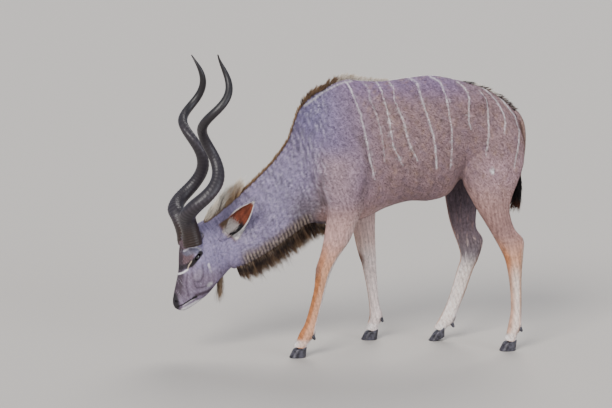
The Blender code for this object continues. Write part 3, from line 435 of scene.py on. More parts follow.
# The slit of the mouth from its front to its corner: x, z, and half the width of the muzzle there.
MOUTH_X = (-0.922, -0.898, -0.868, -0.842, -0.818, -0.800)
MOUTH_Z = (0.258, 0.262, 0.274, 0.291, 0.303, 0.309)
MOUTH_HALF = (0.020, 0.031, 0.038, 0.041, 0.044, 0.048)


def eyelid(side, wide, tall, thick, proud, steps=48, sides=10):
    """A ring of flesh round the eye, thicker above it than below."""
    out = Vector((0, side, 0))
    middle = Vector((EYE.x, side * (EYE.y + proud), EYE.z))
    ring = []
    for a in turns(steps):
        u, v = wide * math.cos(a), tall * math.sin(a) * (1 - 0.30 * math.cos(a) ** 2)
        ring.append(middle + LID_LONG * u + LID_HIGH * v)
    bm = bmesh.new()
    loops = []
    for k, (spot, turn) in enumerate(zip(ring, turns(steps))):
        across = (ring[(k + 1) % steps] - ring[k - 1]).normalized().cross(out)
        size = thick * (1.25 if math.sin(turn) > 0 else 0.9)
        loop = [spot + out * (size * math.cos(a)) + across * (size * 0.85 * math.sin(a)) for a in turns(sides)]
        loops.append([bm.verts.new(point) for point in loop])
    for k in range(steps):
        for j in range(sides):
            n, m = (k + 1) % steps, (j + 1) % sides
            bm.faces.new((loops[k][j], loops[k][m], loops[n][m], loops[n][j]))
    return head_mesh(bm, "lids")


def nostril(side):
    """A slanting comma-shaped hole, narrower inside."""
    long, high = Vector((0.35, 0, -0.94)), Vector((0.94, 0, 0.35))
    rings = []
    for t in (-1.0, -0.7, -0.3, 0.1, 0.5, 1.0):
        centre = Vector((-0.901 + 0.004 * t, side * (0.030 + 0.016 * t), 0.291 + 0.002 * t))
        wide = 0.0085 + 0.0040 * t
        rings.append([
            centre + long * (wide * math.cos(a)) + high * (wide * (0.5 + 0.2 * math.cos(a)) * math.sin(a))
            for a in turns(24)
        ])
    return head_tube(rings, "nostril")


def mouth(side, steps=25):
    """The line between the lips, as a thin wedge that is cut out."""
    rings = []
    for i in range(steps):
        place = i / (steps - 1) * (len(MOUTH_X) - 1)
        x, z, half = (spline(values, place) for values in (MOUTH_X, MOUTH_Z, MOUTH_HALF))
        thick = 0.0018 if i < steps - 3 else 0.0008
        deep, proud = half - 0.006, half + 0.02
        lips = ((deep, thick * 0.3), (proud, thick), (proud, -thick), (deep, -thick * 0.3))
        rings.append([Vector((x, side * y, z + lift)) for y, lift in lips])
    return head_tube(rings, "mouth")


def eye_opening(side):
    """The almond between the lids, wider outwards."""
    rings = []
    for out, grow in ((0.002, 0.75), (0.018, 1.0), (0.060, 1.7)):
        ring = []
        for a in turns(32):
            u, v = 0.0207 * math.cos(a), 0.0126 * math.sin(a) * (1 - 0.55 * math.cos(a) ** 2)
            ring.append(Vector((EYE.x, side * (EYE.y + out), EYE.z)) + (LID_LONG * u + LID_HIGH * v) * grow)
        rings.append(ring)
    return head_tube(rings, "opening")


def eyeball(side, radius, segments):
    """A ball in the place of an eye, made of rings because a sphere's faces come in another order each run."""
    centre = Vector((EYE.x, side * EYE.y, EYE.z))
    rows = segments // 2
    rings = []
    for row in (0.1, *range(1, rows), rows - 0.1):
        level, wide = radius * math.cos(math.pi * row / rows), radius * math.sin(math.pi * row / rows)
        rings.append([centre + Vector((wide * math.cos(a), wide * math.sin(a), level)) for a in turns(segments)])
    return head_tube(rings, "eyeball")


for side in (-1, 1):
    for sizes in LIDS:
        skin_mesh = cut_or_join(skin_mesh, eyelid(side, *sizes), "UNION")
    skin_mesh = cut_or_join(skin_mesh, nostril(side), "DIFFERENCE")
    skin_mesh = cut_or_join(skin_mesh, mouth(side), "DIFFERENCE")
for side in (-1, 1):
    skin_mesh = cut_or_join(skin_mesh, eye_opening(side), "DIFFERENCE")
    skin_mesh = cut_or_join(skin_mesh, eyeball(side, EYE_RADIUS + 0.0004, 40), "DIFFERENCE")
ears = []
for side in (-1, 1):
    ear_mesh, ear_lines = make_ear(side)
    ears.append(ear_lines)
    skin_mesh = cut_or_join(skin_mesh, ear_mesh, "UNION")
bm = bmesh.new()
add_loft(bm, TAIL, 24, 8)
skin_mesh = cut_or_join(skin_mesh, mesh_of(bm, "tail"), "UNION")


def read_all(things, key, width, kind=np.float32):
    """One value of each of a mesh's things, as an array with width columns."""
    values = np.empty(len(things) * width, kind)
    things.foreach_get(key, values)
    return values.reshape(-1, width)


points = read_all(skin_mesh.vertices, "co", 3).astype(float)
normals = read_all(skin_mesh.vertices, "normal", 3).astype(float)

head_back = np.array(head_place().inverted())


def head_frame(p):
    """Points in the head's own upright frame."""
    return p @ head_back[:3, :3].T + head_back[:3, 3]


def on_head(p):
    """1 on the head and 0 from the nape back."""
    return 1 - ramp(p[:, 0] - (-0.632 + 0.1625 * (1.06 - p[:, 2])), -0.05, 0.03)


def on_legs(p):
    """1 on the legs and 0 on the body."""
    x, y, z = p.T
    front = ramp(x, -0.35, -0.28) * (1 - ramp(x, 0.28, 0.36)) * (1 - ramp(z, 0.64, 0.84))
    front *= ramp(np.abs(y), 0.05, 0.09)
    front *= 1 - ramp(-x, 0.13, 0.19) * ramp(z, 0.40, 0.46)
    hind = ramp(x, 0.46, 0.54) * (1 - ramp(z, 0.68, 0.95))
    return np.maximum(front, hind)


# How deep the skin lies under the parts' faces: the depth of its hair, which is short on the head and legs.
HAIR_DEPTH, LESS_ON_HEAD, LESS_ON_LEGS = 0.0026, 0.0018, 0.0012
depth = HAIR_DEPTH - LESS_ON_HEAD * on_head(points) - LESS_ON_LEGS * on_legs(points)
for ear_root, ear_tip, _, _ in ears:
    depth *= ramp(np.linalg.norm(points - np.array((ear_root + ear_tip) / 2), axis=1), 0.11, 0.16)
points = points - normals * depth[:, None]
skin_mesh.vertices.foreach_set("co", points.astype(np.float32).ravel())
skin_mesh.update()


# The coat's markings, as one function of place that the skin and every hair share: a violet-grey neck,
# a warm grey-brown body with thin white stripes, tan legs with pale inner sides, and the marks of the face.
# Some of its colour is painted light and shade: shade in creases, furrows, folds and hollows and between
# the legs, and light on the neck's folds and on a cheek.
STRIPES = (
    (0.8, ((-0.215, 1.296), (-0.125, 1.362), (-0.030, 1.410), (0.030, 1.421))),
    (1.0, ((0.003, 1.414), (0.030, 1.353), (0.064, 1.255), (0.084, 1.142), (0.101, 1.032), (0.126, 0.934))),
    (0.5, ((0.081, 1.418), (0.112, 1.391), (0.115, 1.329), (0.141, 1.265), (0.161, 1.177), (0.177, 1.027))),
    (1.0, ((0.160, 1.412), (0.177, 1.376), (0.194, 1.300), (0.207, 1.202), (0.223, 1.093), (0.268, 1.007))),
    (0.9, ((0.223, 1.411), (0.240, 1.386), (0.237, 1.329), (0.274, 1.233), (0.299, 1.119), (0.344, 1.027))),
    (1.0, ((0.327, 1.436), (0.362, 1.414), (0.374, 1.340), (0.401, 1.243), (0.427, 1.143), (0.444, 0.989))),
    (1.0, ((0.438, 1.440), (0.486, 1.414), (0.505, 1.343), (0.513, 1.265), (0.524, 1.180), (0.520, 0.985))),
    (0.9, ((0.579, 1.411), (0.616, 1.387), (0.623, 1.335), (0.621, 1.262), (0.618, 1.212), (0.628, 1.182))),
    (0.9, ((0.697, 1.364), (0.722, 1.321), (0.725, 1.258), (0.725, 1.158), (0.719, 1.107), (0.711, 1.044))),
    (1.0, ((0.709, 1.384), (0.748, 1.352), (0.786, 1.307), (0.812, 1.253), (0.818, 1.203), (0.809, 1.154))),
    (1.0, ((0.801, 1.336), (0.845, 1.282), (0.887, 1.230), (0.898, 1.170), (0.887, 1.096), (0.861, 0.973))),
)
# The line under the throat that its fringe hangs from, as (x, z) corners.
THROAT_LINE = ((-0.58, 0.44), (-0.43, 0.50), (-0.345, 0.555), (-0.265, 0.615), (-0.19, 0.665))

# The marks of the face, in the order in which they are laid: colour, strength, the distances from the mark's
# line at which it starts to fade and is gone, and the line's (x, z) corners in the head's own frame. Some are
# painted shade, in the folds of the cheek and nose and behind the mouth, and one is a painted highlight on the
# cheek.
FACE_MARKS = (
    ("#4d3d4a", 0.6, 0.0012, 0.0085,  # painted shade in the folds of the cheek and nose
     ((-0.823, 0.436), (-0.809, 0.392), (-0.782, 0.389), (-0.764, 0.420), (-0.773, 0.479))),
    ("#4d3d4a", 0.6, 0.0012, 0.0085, ((-0.814, 0.390), (-0.799, 0.359), (-0.763, 0.358), (-0.735, 0.365))),
    ("#4d3d4a", 0.6, 0.0012, 0.0085, ((-0.845, 0.430), (-0.850, 0.370), (-0.842, 0.320))),
    ("#a99cae", 0.45, 0.010, 0.026, ((-0.800, 0.415), (-0.785, 0.440))),  # painted highlight on the cheek, between its folds
    ("#a497ab", 0.45, 0.006, 0.020, ((-0.770, 0.335), (-0.745, 0.345))),
    ("#6d6c80", 0.8, 0.010, 0.024, ((-0.845, 0.545), (-0.815, 0.560), (-0.785, 0.550))),  # over the eye
    ("#d0cbd8", 0.7, 0.0016, 0.0062, ((-0.855, 0.552), (-0.832, 0.573), (-0.795, 0.572), (-0.778, 0.556))),
    ("#282127", 0.9, 0.008, 0.019, ((-0.872, 0.464), (-0.845, 0.474), (-0.826, 0.488))),  # before the eye
    ("#1b1519", 1.0, 0.0090, 0.0165, ((-0.830, 0.482), (-0.799, 0.514), (-0.778, 0.540))),  # round the eye
    ("#cbb9a6", 0.9, 0.0012, 0.0035, ((-0.826, 0.500), (-0.838, 0.480), (-0.842, 0.462))),
    ("#f4f0f2", 1.0, 0.0020, 0.0056, ((-0.886, 0.427), (-0.862, 0.441), (-0.843, 0.456))),  # nose chevron
    ("#e6e0e6", 0.9, 0.0020, 0.0080, ((-0.737, 0.480), (-0.732, 0.462))),  # spots on the cheek
    ("#d2ccd6", 0.5, 0.0006, 0.0066, ((-0.732, 0.462), (-0.721, 0.436))),
    ("#e4dfe5", 0.8, 0.003, 0.020, ((-0.728, 0.368), (-0.724, 0.372))),
    ("#e8e2e5", 0.9, 0.0025, 0.0070, ((-0.812, 0.600), (-0.796, 0.614), (-0.786, 0.632))),  # by the horn
    ("#e6e1e3", 1.0, 0.005, 0.014, ((-0.870, 0.246), (-0.840, 0.258), (-0.800, 0.277), (-0.735, 0.292))),  # chin
    ("#d9d3d6", 0.7, 0.002, 0.007, ((-0.866, 0.270), (-0.835, 0.287), (-0.812, 0.300))),  # upper lip
    ("#4b3a47", 0.9, 0.004, 0.013, ((-0.800, 0.318), (-0.739, 0.331), (-0.703, 0.342))),  # painted shade behind the mouth
    ("#231d24", 1.0, 0.015, 0.030, ((-0.915, 0.312), (-0.908, 0.262))),  # bare skin of the nose
    ("#1d171b", 1.0, 0.0018, 0.0050, ((-0.905, 0.262), (-0.868, 0.275), (-0.806, 0.308))),  # line of the mouth
    ("#1d171b", 1.0, 0.004, 0.009, ((-0.815, 0.304), (-0.798, 0.310))),  # its corner
)
# Painted shade in two creases of the shoulder, behind its blade and before its point: the (x, z) corners, the
# distance at which the shade is gone, how far out from the middle it sets in and is full, and its strength.
SHOULDER_CREASE_SHADES = (
    (((0.060, 1.14), (0.085, 1.05), (0.090, 0.95), (0.075, 0.86), (0.045, 0.80)), 0.034, 0.08, 0.14, 0.45),
    (((-0.125, 0.80), (-0.150, 0.86), (-0.140, 0.94)), 0.030, 0.06, 0.12, 0.5),
)
NECK_FURROW, THROAT_LOCK = 0.023, 0.019  # spacing of the neck's furrows and of the locks under it
FAR_SHIFT = 0.018  # the far side's stripes stand this much further forward


def linear(text):
    """The linear colour of an sRGB hex text."""
    values = [int(text[i : i + 2], 16) / 255 for i in (1, 3, 5)]
    return tuple(v / 12.92 if v <= 0.04045 else ((v + 0.055) / 1.055) ** 2.4 for v in values)


def mottle(p, size, seed=0.0):
    """Soft noise from -1 to 1, with patches of about the given size."""
    q = p / size
    total = np.zeros(len(p))
    for k, (a, b, c) in enumerate(((1.0, 0.6, 0.3), (-0.5, 1.1, 0.7), (0.4, -0.8, 1.2), (1.3, 0.2, -0.9))):
        total += np.sin(6.283 * (a * q[:, 0] + b * q[:, 1] + c * q[:, 2]) / 1.6 + seed + 1.7 * k)
        q = q[:, [1, 2, 0]] * 1.37 + 0.21 * total[:, None]
    return total / 4


def distance_to(flat, line):
    """The distance of flat points to a line of corners."""
    nearest = np.full(len(flat), 9.0)
    for start, end in zip(np.array(line[:-1]), np.array(line[1:])):
        way = end - start
        t = np.clip(((flat - start) @ way) / (way @ way), 0, 1)
        nearest = np.minimum(nearest, np.linalg.norm(flat - start - t[:, None] * way, axis=1))
    return nearest


# Half the ear's width at shares of its length, as its markings and hair reach over it.
EAR_PLACES = (0, 0.12, 0.23, 0.34, 0.45, 0.56, 0.67, 0.78, 0.89, 1)
EAR_HALVES = (0.020, 0.031, 0.042, 0.047, 0.046, 0.042, 0.035, 0.026, 0.014, 0.006)


def ear_share(p, ear):
    """Where points are on an ear: along it from 0 to 1, across it from -1 to 1, and how far off its line."""
    ear_root, ear_tip, face, across = (np.array(v) for v in ear)
    way = ear_tip - ear_root
    t = (p - ear_root) @ way / (way @ way)
    off = np.linalg.norm(p - ear_root - np.clip(t, 0, 1)[:, None] * way, axis=1)
    half = np.interp(t, EAR_PLACES, EAR_HALVES)
    return t, (p - ear_root) @ across / half, off


def markings(p, n, bold=1.0):
    """The coat's colour at each point, with painted light and shade, from its place and the way that it faces."""
    colour = np.tile(np.array(linear("#8a6f72")), (len(p), 1))

    def blend(text, mask):
        nonlocal colour
        mask = np.clip(mask, 0, 1)[:, None]
        colour = colour * (1 - mask) + np.array(linear(text)) * mask

    x, y, z = p.T
    side = np.abs(y)
    front, rear = ramp(-n[:, 0], 0.0, 0.8), ramp(n[:, 0], 0.1, 0.8)
    inner = ramp(np.where(y < 0, n[:, 1], -n[:, 1]), 0.05, 0.55)

    # the shoulder, the neck and its grain, the breast, and the body from rump to back
    blend("#857493", ramp(-x, -0.22, 0.12) * ramp(z, 0.72, 0.95))
    point = ramp(-x, -0.10, 0.05) * (1 - ramp(np.abs(z - 0.92), 0.06, 0.20)) * (1 - ramp(-x, 0.12, 0.22))
    blend("#a0868f", point)  # point of the shoulder
    blend("#9c8faf", ramp(-x, 0.10, 0.35) * (1 - ramp(z, 0.95, 1.25)))
    blend("#70688f", ramp(-x, 0.02, 0.20) * ramp(z, 1.02, 1.25) * 0.8)
    grain = mottle(p * (1.0, 1.0, 0.6), 0.022, 8.0)
    blend("#5e566a", ramp(mottle(p, 0.10), 0.0, 0.9) * ramp(-x, 0.0, 0.25) * 0.45)
    blend("#4f485a", ramp(grain, 0.15, 0.9) * ramp(-x, 0.0, 0.20) * 0.50)
    blend("#bdb6c8", ramp(-grain, 0.35, 0.95) * ramp(-x, 0.0, 0.20) * 0.40)
    breast = ramp(-x, 0.08, 0.14) * (1 - ramp(-x, 0.24, 0.34)) * (1 - ramp(z, 0.78, 0.90))
    blend("#6a5f68", breast * 0.8)
    blend("#997c7e", ramp(x, 0.62, 0.85) * ramp(z, 0.75, 1.0) * 0.8)  # rump
    blend("#b6949a", ramp(x, 0.60, 0.75) * (1 - ramp(np.abs(z - 0.93), 0.05, 0.16)) * 0.7)
    belly = (1 - ramp(z, 0.80, 0.95)) * ramp(x, 0.05, 0.15) * (1 - ramp(x, 0.5, 0.6))
    blend("#9b7e84", belly * 0.8)
    blend("#856f93", ramp(z, 1.28, 1.42) * ramp(x, -0.1, 0.1) * (1 - ramp(x, 0.5, 0.8)) * 0.8)  # back
    blend("#806a66", ramp(mottle(p, 0.16, 2.0), 0.2, 0.9) * ramp(x, 0.0, 0.2) * 0.35)

    # patches of the body, and painted shade and light for the neck's furrows and the shoulder's creases
    patch = mottle(p * (1.0, 1.0, 0.8), 0.060, 5.0)
    blend("#9a7a66", ramp(patch, 0.1, 0.9) * ramp(x, -0.02, 0.15) * 0.42)
    blend("#6a5a70", ramp(-patch, 0.2, 0.9) * ramp(x, -0.02, 0.15) * 0.35)
    ripple = np.sin(6.283 * (x * 0.86 + z * 0.25 + 0.010 * mottle(p, 0.07, 2.0)) / NECK_FURROW)
    furrow_light_and_shade = ramp(-x, 0.06, 0.16) * (1 - on_head(p)) * ramp(mottle(p, 0.12, 7.0), -0.7, 0.3)
    # dark bands are painted shade in the neck's furrows, and pale bands painted light on the folds between them
    blend("#453f50", furrow_light_and_shade * ramp(ripple, 0.1, 0.9) * 0.50)
    blend("#c4bdcd", furrow_light_and_shade * ramp(-ripple, 0.3, 0.95) * 0.38)
    # painted shade along each crease of the shoulder
    for line, reach, sets_in, full, strength in SHOULDER_CREASE_SHADES:
        crease_shade = 1 - ramp(distance_to(p[:, [0, 2]], line), 0.004, reach)
        blend("#5e4d50", crease_shade * ramp(side, sets_in, full) * strength)

    # the skin under the throat fringe, combed in its locks
    throat = distance_to(p[:, [0, 2]], THROAT_LINE)
    comb = 0.5 + 0.5 * np.sin(6.283 * (x * 0.93 + z * 0.37) / THROAT_LOCK + 1.2 * mottle(p, 0.06))
    hang = (1 - ramp(throat, 0.040, 0.100)) * ramp(-x, 0.16, 0.22) * (1 - on_head(p))
    blend("#8d7975", hang * 0.70)
    blend("#3a2e2c", hang * ramp(comb, 0.50, 0.8) * 0.85)
    blend("#cdbca9", hang * (1 - ramp(comb, 0.15, 0.45)) * 0.75)

    # the legs: tan in front, white inside and behind, with dark knees and pasterns, and painted shade on the inner
    # thighs and on the right front leg's pale sides
    legs = on_legs(p)
    low = 1 - ramp(z, 0.44, 0.64)
    blend("#c9a29c", legs)
    blend("#a17d77", legs * (x > 0.4) * (1 - low))
    blend("#d8a280", legs * low)
    blend("#b87444", legs * low * ramp(front, 0.0, 0.6) * 0.95)
    pale = np.maximum(ramp(inner, 0.35, 0.9), ramp(rear, 0.45, 1.0) * 0.9)
    # weaker on the right front leg, whose pale inner and rear sides are painted in shade
    blend("#ece4e4", legs * low * pale * (0.95 - 0.20 * (y > 0) * (x < 0.4)))
    blend("#cbbcb8", legs * np.maximum(inner, rear) * (1 - low) * ramp(0.4 - x, 0.0, 0.1) * 0.4)
    blend("#b07a4e", legs * (x > 0.4) * low * rear * ramp(z, 0.13, 0.26) * 0.85)
    blend("#f4e3d9", legs * (x > 0.4) * (1 - ramp(z, 0.36, 0.50)) * (1 - rear) * (1 - 0.6 * front) * 0.85)
    knee = np.exp(-(((z - 0.455) / 0.040) ** 2)) * ramp(-n[:, 0], 0.2, 0.8)
    blend("#6b3f26", legs * knee * ramp(0.3 - x, 0.0, 0.1) * 0.85)
    streak = 0.5 + 0.5 * mottle(p * (1.0, 1.0, 0.25), 0.03, 2.0)
    # painted shade on the inner thighs, between the hind legs, deepest towards the groin
    inner_thigh_shade = ramp(x, 0.45, 0.52) * inner * ramp(z, 0.37, 0.49) * (1 - ramp(z, 0.90, 0.97))
    blend("#5d515c", inner_thigh_shade * (0.80 + 0.2 * streak) * (1 - 0.5 * ramp(streak, 0.6, 0.9)))
    blend("#453b48", inner_thigh_shade * ramp(z, 0.66, 0.76) * 0.5)
    blend("#e8e1de", (1 - ramp(z, 0.080, 0.100)) * ramp(z, 0.052, 0.060) * legs * (0.4 + 0.6 * front))
    blend("#4b3c38", legs * np.exp(-(((z - 0.112) / 0.018) ** 2)) * rear * 0.8)

    # the stripes, a white spot on the thigh, and the line along the back
    flat = p[:, [0, 2]] + 0.0022 * mottle(p, 0.05, 5.0)[:, None]
    flat[:, 0] += np.where(y > 0, FAR_SHIFT, 0.0)
    upper = (z > 0.9) & (x > -0.23)
    for strength, line in STRIPES:
        near = np.zeros(len(p))
        near[upper] = 1 - ramp(distance_to(flat[upper], line), 0.0024, 0.0052)
        blend("#f1ecee", near * strength * bold * (0.90 + 0.16 * mottle(p, 0.03, 3.0)))
    spot = np.hypot(flat[:, 0] - 0.742, (flat[:, 1] - 0.965) * 0.5)
    blend("#efeaea", 1 - ramp(spot, 0.007, 0.013))
    ridge = (1 - ramp(side, 0.008, 0.016)) * ramp(n[:, 2], 0.3, 0.6)  # white along the back, dark on the croup
    blend("#eee7df", ridge * ramp(x, -0.22, -0.10) * (1 - ramp(x, 0.55, 0.66)))
    ridge = (1 - ramp(side, 0.010, 0.022)) * ramp(n[:, 2], 0.2, 0.5)
    blend("#3b2e2c", ridge * ramp(x, 0.64, 0.72) * (1 - ramp(x, 0.86, 0.92)))

    # the head: violet-grey, darker down the nose and forehead, finely wrinkled
    h = head_frame(p)
    head = on_head(p)
    hx, hy, hz = h.T
    flat = h[:, [0, 2]] + 0.0015 * mottle(p, 0.02, 1.0)[:, None]
    near_nose = 1 - ramp(hz, 0.33, 0.47)
    blend("#9b90b2", head)
    blend("#8a7a90", head * (1 - ramp(hz, 0.40, 0.50)))
    blend("#86768c", head * near_nose * 0.7)
    blend("#66525c", head * ramp(mottle(p, 0.035, 3.0), 0.0, 0.8) * (1 - ramp(hz, 0.32, 0.52)) * 0.45)
    blend("#94879a", head * ramp(mottle(p, 0.028, 6.0), 0.2, 0.9) * 0.5)
    forehead = (1 - ramp(hx, -0.825, -0.795)) * ramp(hz, 0.45, 0.49) * (1 - ramp(hz, 0.60, 0.63))
    blend("#684f52", head * forehead * 0.95)
    bridge = (1 - ramp(np.abs(hy), 0.032, 0.050)) * ramp(hz, 0.28, 0.34) * (1 - ramp(hz, 0.55, 0.60))
    blend("#41333c", head * bridge * ramp(-hx, 0.80, 0.84) * 0.85)
    wrinkle = mottle(h * (1.0, 1.0, 0.7), 0.016, 9.0)
    blend("#4d404e", head * ramp(wrinkle, 0.15, 0.80) * 0.50)
    blend("#c4bbcb", head * ramp(-wrinkle, 0.30, 0.90) * 0.42)
    for text, strength, near, fade, line in FACE_MARKS:
        blend(text, head * (1 - ramp(distance_to(flat, line), near, fade)) * strength)

    # the ears: grey behind, rust inside, with black painted shade in the hollow at the base, a white patch and pale
    # edges
    for ear in ears:
        t, v, off = ear_share(p, ear)
        here = ramp(t, 0.04, 0.12) * (1 - ramp(off, 0.062, 0.070))
        inside = ramp(n @ np.array(ear[2]), -0.05, 0.25)
        low_side = v if ear[3].z < 0 else -v
        ribs = np.sin(7.0 * v + 2.0 * t)
        blend("#8a7f86", here * (1 - inside))
        blend("#7a5f4c", here * (1 - inside) * (1 - ramp(t, 0.25, 0.55)) * 0.8)
        blend("#8d4a34", here * inside)
        blend("#5a2a20", here * inside * ramp(ribs, 0.3, 0.9) * 0.55)
        blend("#7a6250", here * inside * ramp(-low_side, 0.55, 0.80) * (1 - ramp(t, 0.30, 0.42)))
        # black painted shade in the hollow low inside the ear, near its root
        ear_hollow_shade = ramp(low_side, 0.22, 0.46) * (1 - ramp(t, 0.40, 0.52)) * ramp(t, 0.04, 0.12)
        blend("#201a20", here * inside * ear_hollow_shade)
        white = (1 - ramp(t, 0.26, 0.37)) * ramp(low_side, -0.75, -0.45) * (1 - ramp(low_side, 0.22, 0.42))
        blend("#e9e3e2", here * inside * white)
        blend("#ebe4e2", here * ramp(low_side, 0.86, 0.97) * ramp(t, 0.04, 0.15))
        blend("#ded5d2", here * ramp(-low_side, 0.90, 0.99) * ramp(t, 0.35, 0.55))
        blend("#e6dfdd", here * ramp(t, 0.90, 0.98) * inside)

    # the tail, dark at its tip, and the flecks of the whole coat
    tail = ramp(x, 0.895, 0.915) * (1 - ramp(side, 0.026, 0.034))
    blend("#94786f", tail * (1 - ramp(z, 1.20, 1.26)) * ramp(x, 0.920, 0.934))
    blend("#1c1416", tail * (1 - ramp(z, 0.86, 0.93)) * ramp(x, 0.885, 0.9))
    fleck = (0.50 - 0.25 * head) * mottle(p * (1.0, 1.0, 0.8), 0.013, 6.0)
    shade = 1 + 0.12 * mottle(p, 0.045, 4.0) + fleck
    return np.clip(colour * shade[:, None], 0, 1)


def paint_on(mesh, colours):
    """Stores a linear colour for each vertex as the attribute that the materials read."""
    layer = mesh.attributes.new("paint", "FLOAT_COLOR", "POINT")
    rgba = np.ones((len(colours), 4), np.float32)
    rgba[:, :3] = colours
    layer.data.foreach_set("color", rgba.ravel())


def add_node(tree, kind, settings=None, links=None):
    """Adds a shader node, with its settings and its input values or links."""
    made = tree.nodes.new(kind)
    for key, value in (settings or {}).items():
        setattr(made, key, value)
    for key, value in (links or {}).items():
        if isinstance(value, bpy.types.NodeSocket):
            tree.links.new(value, made.inputs[key])
        else:
            made.inputs[key].default_value = value
    return made


def new_material(name):
    """A material, its node tree and its shader."""
    made = bpy.data.materials.new(name)
    made.use_nodes = True
    return made, made.node_tree, made.node_tree.nodes["Principled BSDF"]


def new_piece(name, mesh, material, smooth=True):
    """An object with its material, moved to the model's origin."""
    mesh.transform(Matrix.Translation(-ORIGIN))
    mesh.materials.clear()
    mesh.materials.append(material)
    if smooth:
        mesh.shade_smooth()
    made = bpy.data.objects.new(name, mesh)
    bpy.context.scene.collection.objects.link(made)
    return made


paint_on(skin_mesh, markings(points, normals, 0.35))

# Hide with close hair, brushed flat. It is matt, and a fine dark grain stands for the roots of the hair. Real
# hair is too fine to show, so the grain is drawn more than 2 mm coarse.
HIDE_GRAIN_MM = 2.38
hide, tree, shader = new_material("hide")
paint = add_node(tree, "ShaderNodeAttribute", {"attribute_name": "paint"})
where = add_node(tree, "ShaderNodeTexCoord")
grain = add_node(tree, "ShaderNodeTexNoise", None,
                 {"Vector": where.outputs["Object"], "Scale": 1000 / HIDE_GRAIN_MM, "Detail": 3.0})
tone = add_node(tree, "ShaderNodeMapRange", None, {"Value": grain.outputs["Fac"], "To Min": 0.72, "To Max": 1.10})
mixed = add_node(tree, "ShaderNodeVectorMath", {"operation": "SCALE"},
                 {0: paint.outputs["Color"], "Scale": tone.outputs["Result"]})
tree.links.new(mixed.outputs["Vector"], shader.inputs["Base Color"])
bump = add_node(tree, "ShaderNodeBump", None, {"Height": grain.outputs["Fac"], "Strength": 0.5, "Distance": 0.001})
tree.links.new(bump.outputs["Normal"], shader.inputs["Normal"])
shader.inputs["Roughness"].default_value = 0.75

skin = new_piece("skin", skin_mesh, hide)
bpy.context.view_layer.objects.active = skin
skin.select_set(True)
bpy.ops.object.mode_set(mode="EDIT")
bpy.ops.mesh.select_all(action="SELECT")
bpy.ops.uv.smart_project(angle_limit=math.radians(60), island_margin=0.001)
bpy.ops.object.mode_set(mode="OBJECT")
skin_mesh.uv_layers.active.name = "OFBake"
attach(skin, "root")
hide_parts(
    "torso", "neck", "head", "tail", "ear_left", "ear_right",
    "leg_front_left", "leg_front_right", "leg_hind_left", "leg_hind_right",
)


# The short coat. On the animal it is close hair 10 to 20 mm long. Here each tuft is a thin solid sliver
# rooted in the skin, lying along the body as the hair does.
rng = np.random.default_rng(7)
corners = read_all(skin_mesh.loops, "vertex_index", 1, np.int32)[:, 0]
sheet = read_all(skin_mesh.uv_layers["OFBake"].data, "uv", 2)
skin_mesh.calc_loop_triangles()
triangles = read_all(skin_mesh.loop_triangles, "loops", 3, np.int32)
ends = points[corners[triangles]]
areas = np.linalg.norm(np.cross(ends[:, 1] - ends[:, 0], ends[:, 2] - ends[:, 0]), axis=1) / 2


def scatter(number, coated):
    """Roots spread evenly over the triangles for which coated is above 0."""
    weight = areas * coated
    chosen = rng.choice(len(weight), number, p=weight / weight.sum())
    a, b = rng.random((2, number))
    flip = a + b > 1
    a[flip], b[flip] = 1 - a[flip], 1 - b[flip]
    share = np.stack((1 - a - b, a, b), axis=1)[:, :, None]
    spots = corners[triangles[chosen]]
    root = (points[spots] * share).sum(1)
    normal = (normals[spots] * share).sum(1)
    normal /= np.linalg.norm(normal, axis=1)[:, None]
    return root, normal, (sheet[triangles[chosen]] * share).sum(1)


def lie_of(p, n):
    """The way that the hair lies: back along the head, neck and body, and down the legs."""
    way = np.tile((0.93, 0.0, -0.36), (len(p), 1))

    def turn(direction, mask):
        nonlocal way
        way = way * (1 - mask[:, None]) + np.array(direction) * mask[:, None]

    turn((0.75, 0.0, -0.66), 1 - ramp(p[:, 2], 0.85, 1.15))
    turn((0.45, 0.0, -0.90), ramp(p[:, 0], 0.70, 0.90))
    turn((0.80, 0.0, 0.10), ramp(-p[:, 0], 0.02, 0.20) * ramp(p[:, 2], 0.6, 0.9))
    turn((0.74, 0.0, 0.66), ramp(-p[:, 0], 0.18, 0.38))
    throat = distance_to(p[:, [0, 2]], THROAT_LINE)
    turn((0.34, 0.0, -0.94), (1 - ramp(throat, 0.070, 0.110)) * ramp(-p[:, 0], 0.16, 0.22))
    high = (p[:, 2] > 0.9) & (p[:, 0] > -0.23)
    beside = np.zeros(len(p))
    for _, line in STRIPES:
        near = 1 - ramp(distance_to(p[high][:, [0, 2]], line), 0.010, 0.022)
        beside[high] = np.maximum(beside[high], near)
    turn((0.16, 0.0, -0.98), beside * 0.9)
    turn((0.18, 0.0, -0.98), on_legs(p))
    turn(tuple(head_place().to_3x3() @ Vector((0.42, 0, 0.90))), on_head(p))
    for ear in ears:
        t, _, off = ear_share(p, ear)
        ear_root, ear_tip, _, _ = ear
        turn(tuple((ear_tip - ear_root).normalized()), ramp(t, 0.0, 0.1) * (1 - ramp(off, 0.062, 0.070)))
    turn((0.0, 0.0, -1.0), ramp(p[:, 0], 0.915, 0.93) * (1 - ramp(np.abs(p[:, 1]), 0.026, 0.034)))
    way += rng.normal(0, 0.06, way.shape)
    way -= n * (way * n).sum(1)[:, None]
    return way / np.linalg.norm(way, axis=1)[:, None]


# Hair of keratin, in solid slivers and strands. Each is dull but for a weak sheen along its length, so its
# painted colour is what shows.
hair, tree, shader = new_material("hair")
paint = add_node(tree, "ShaderNodeAttribute", {"attribute_name": "paint"})
tree.links.new(paint.outputs["Color"], shader.inputs["Base Color"])
shader.inputs["Roughness"].default_value = 0.62
shader.inputs["Specular IOR Level"].default_value = 0.3


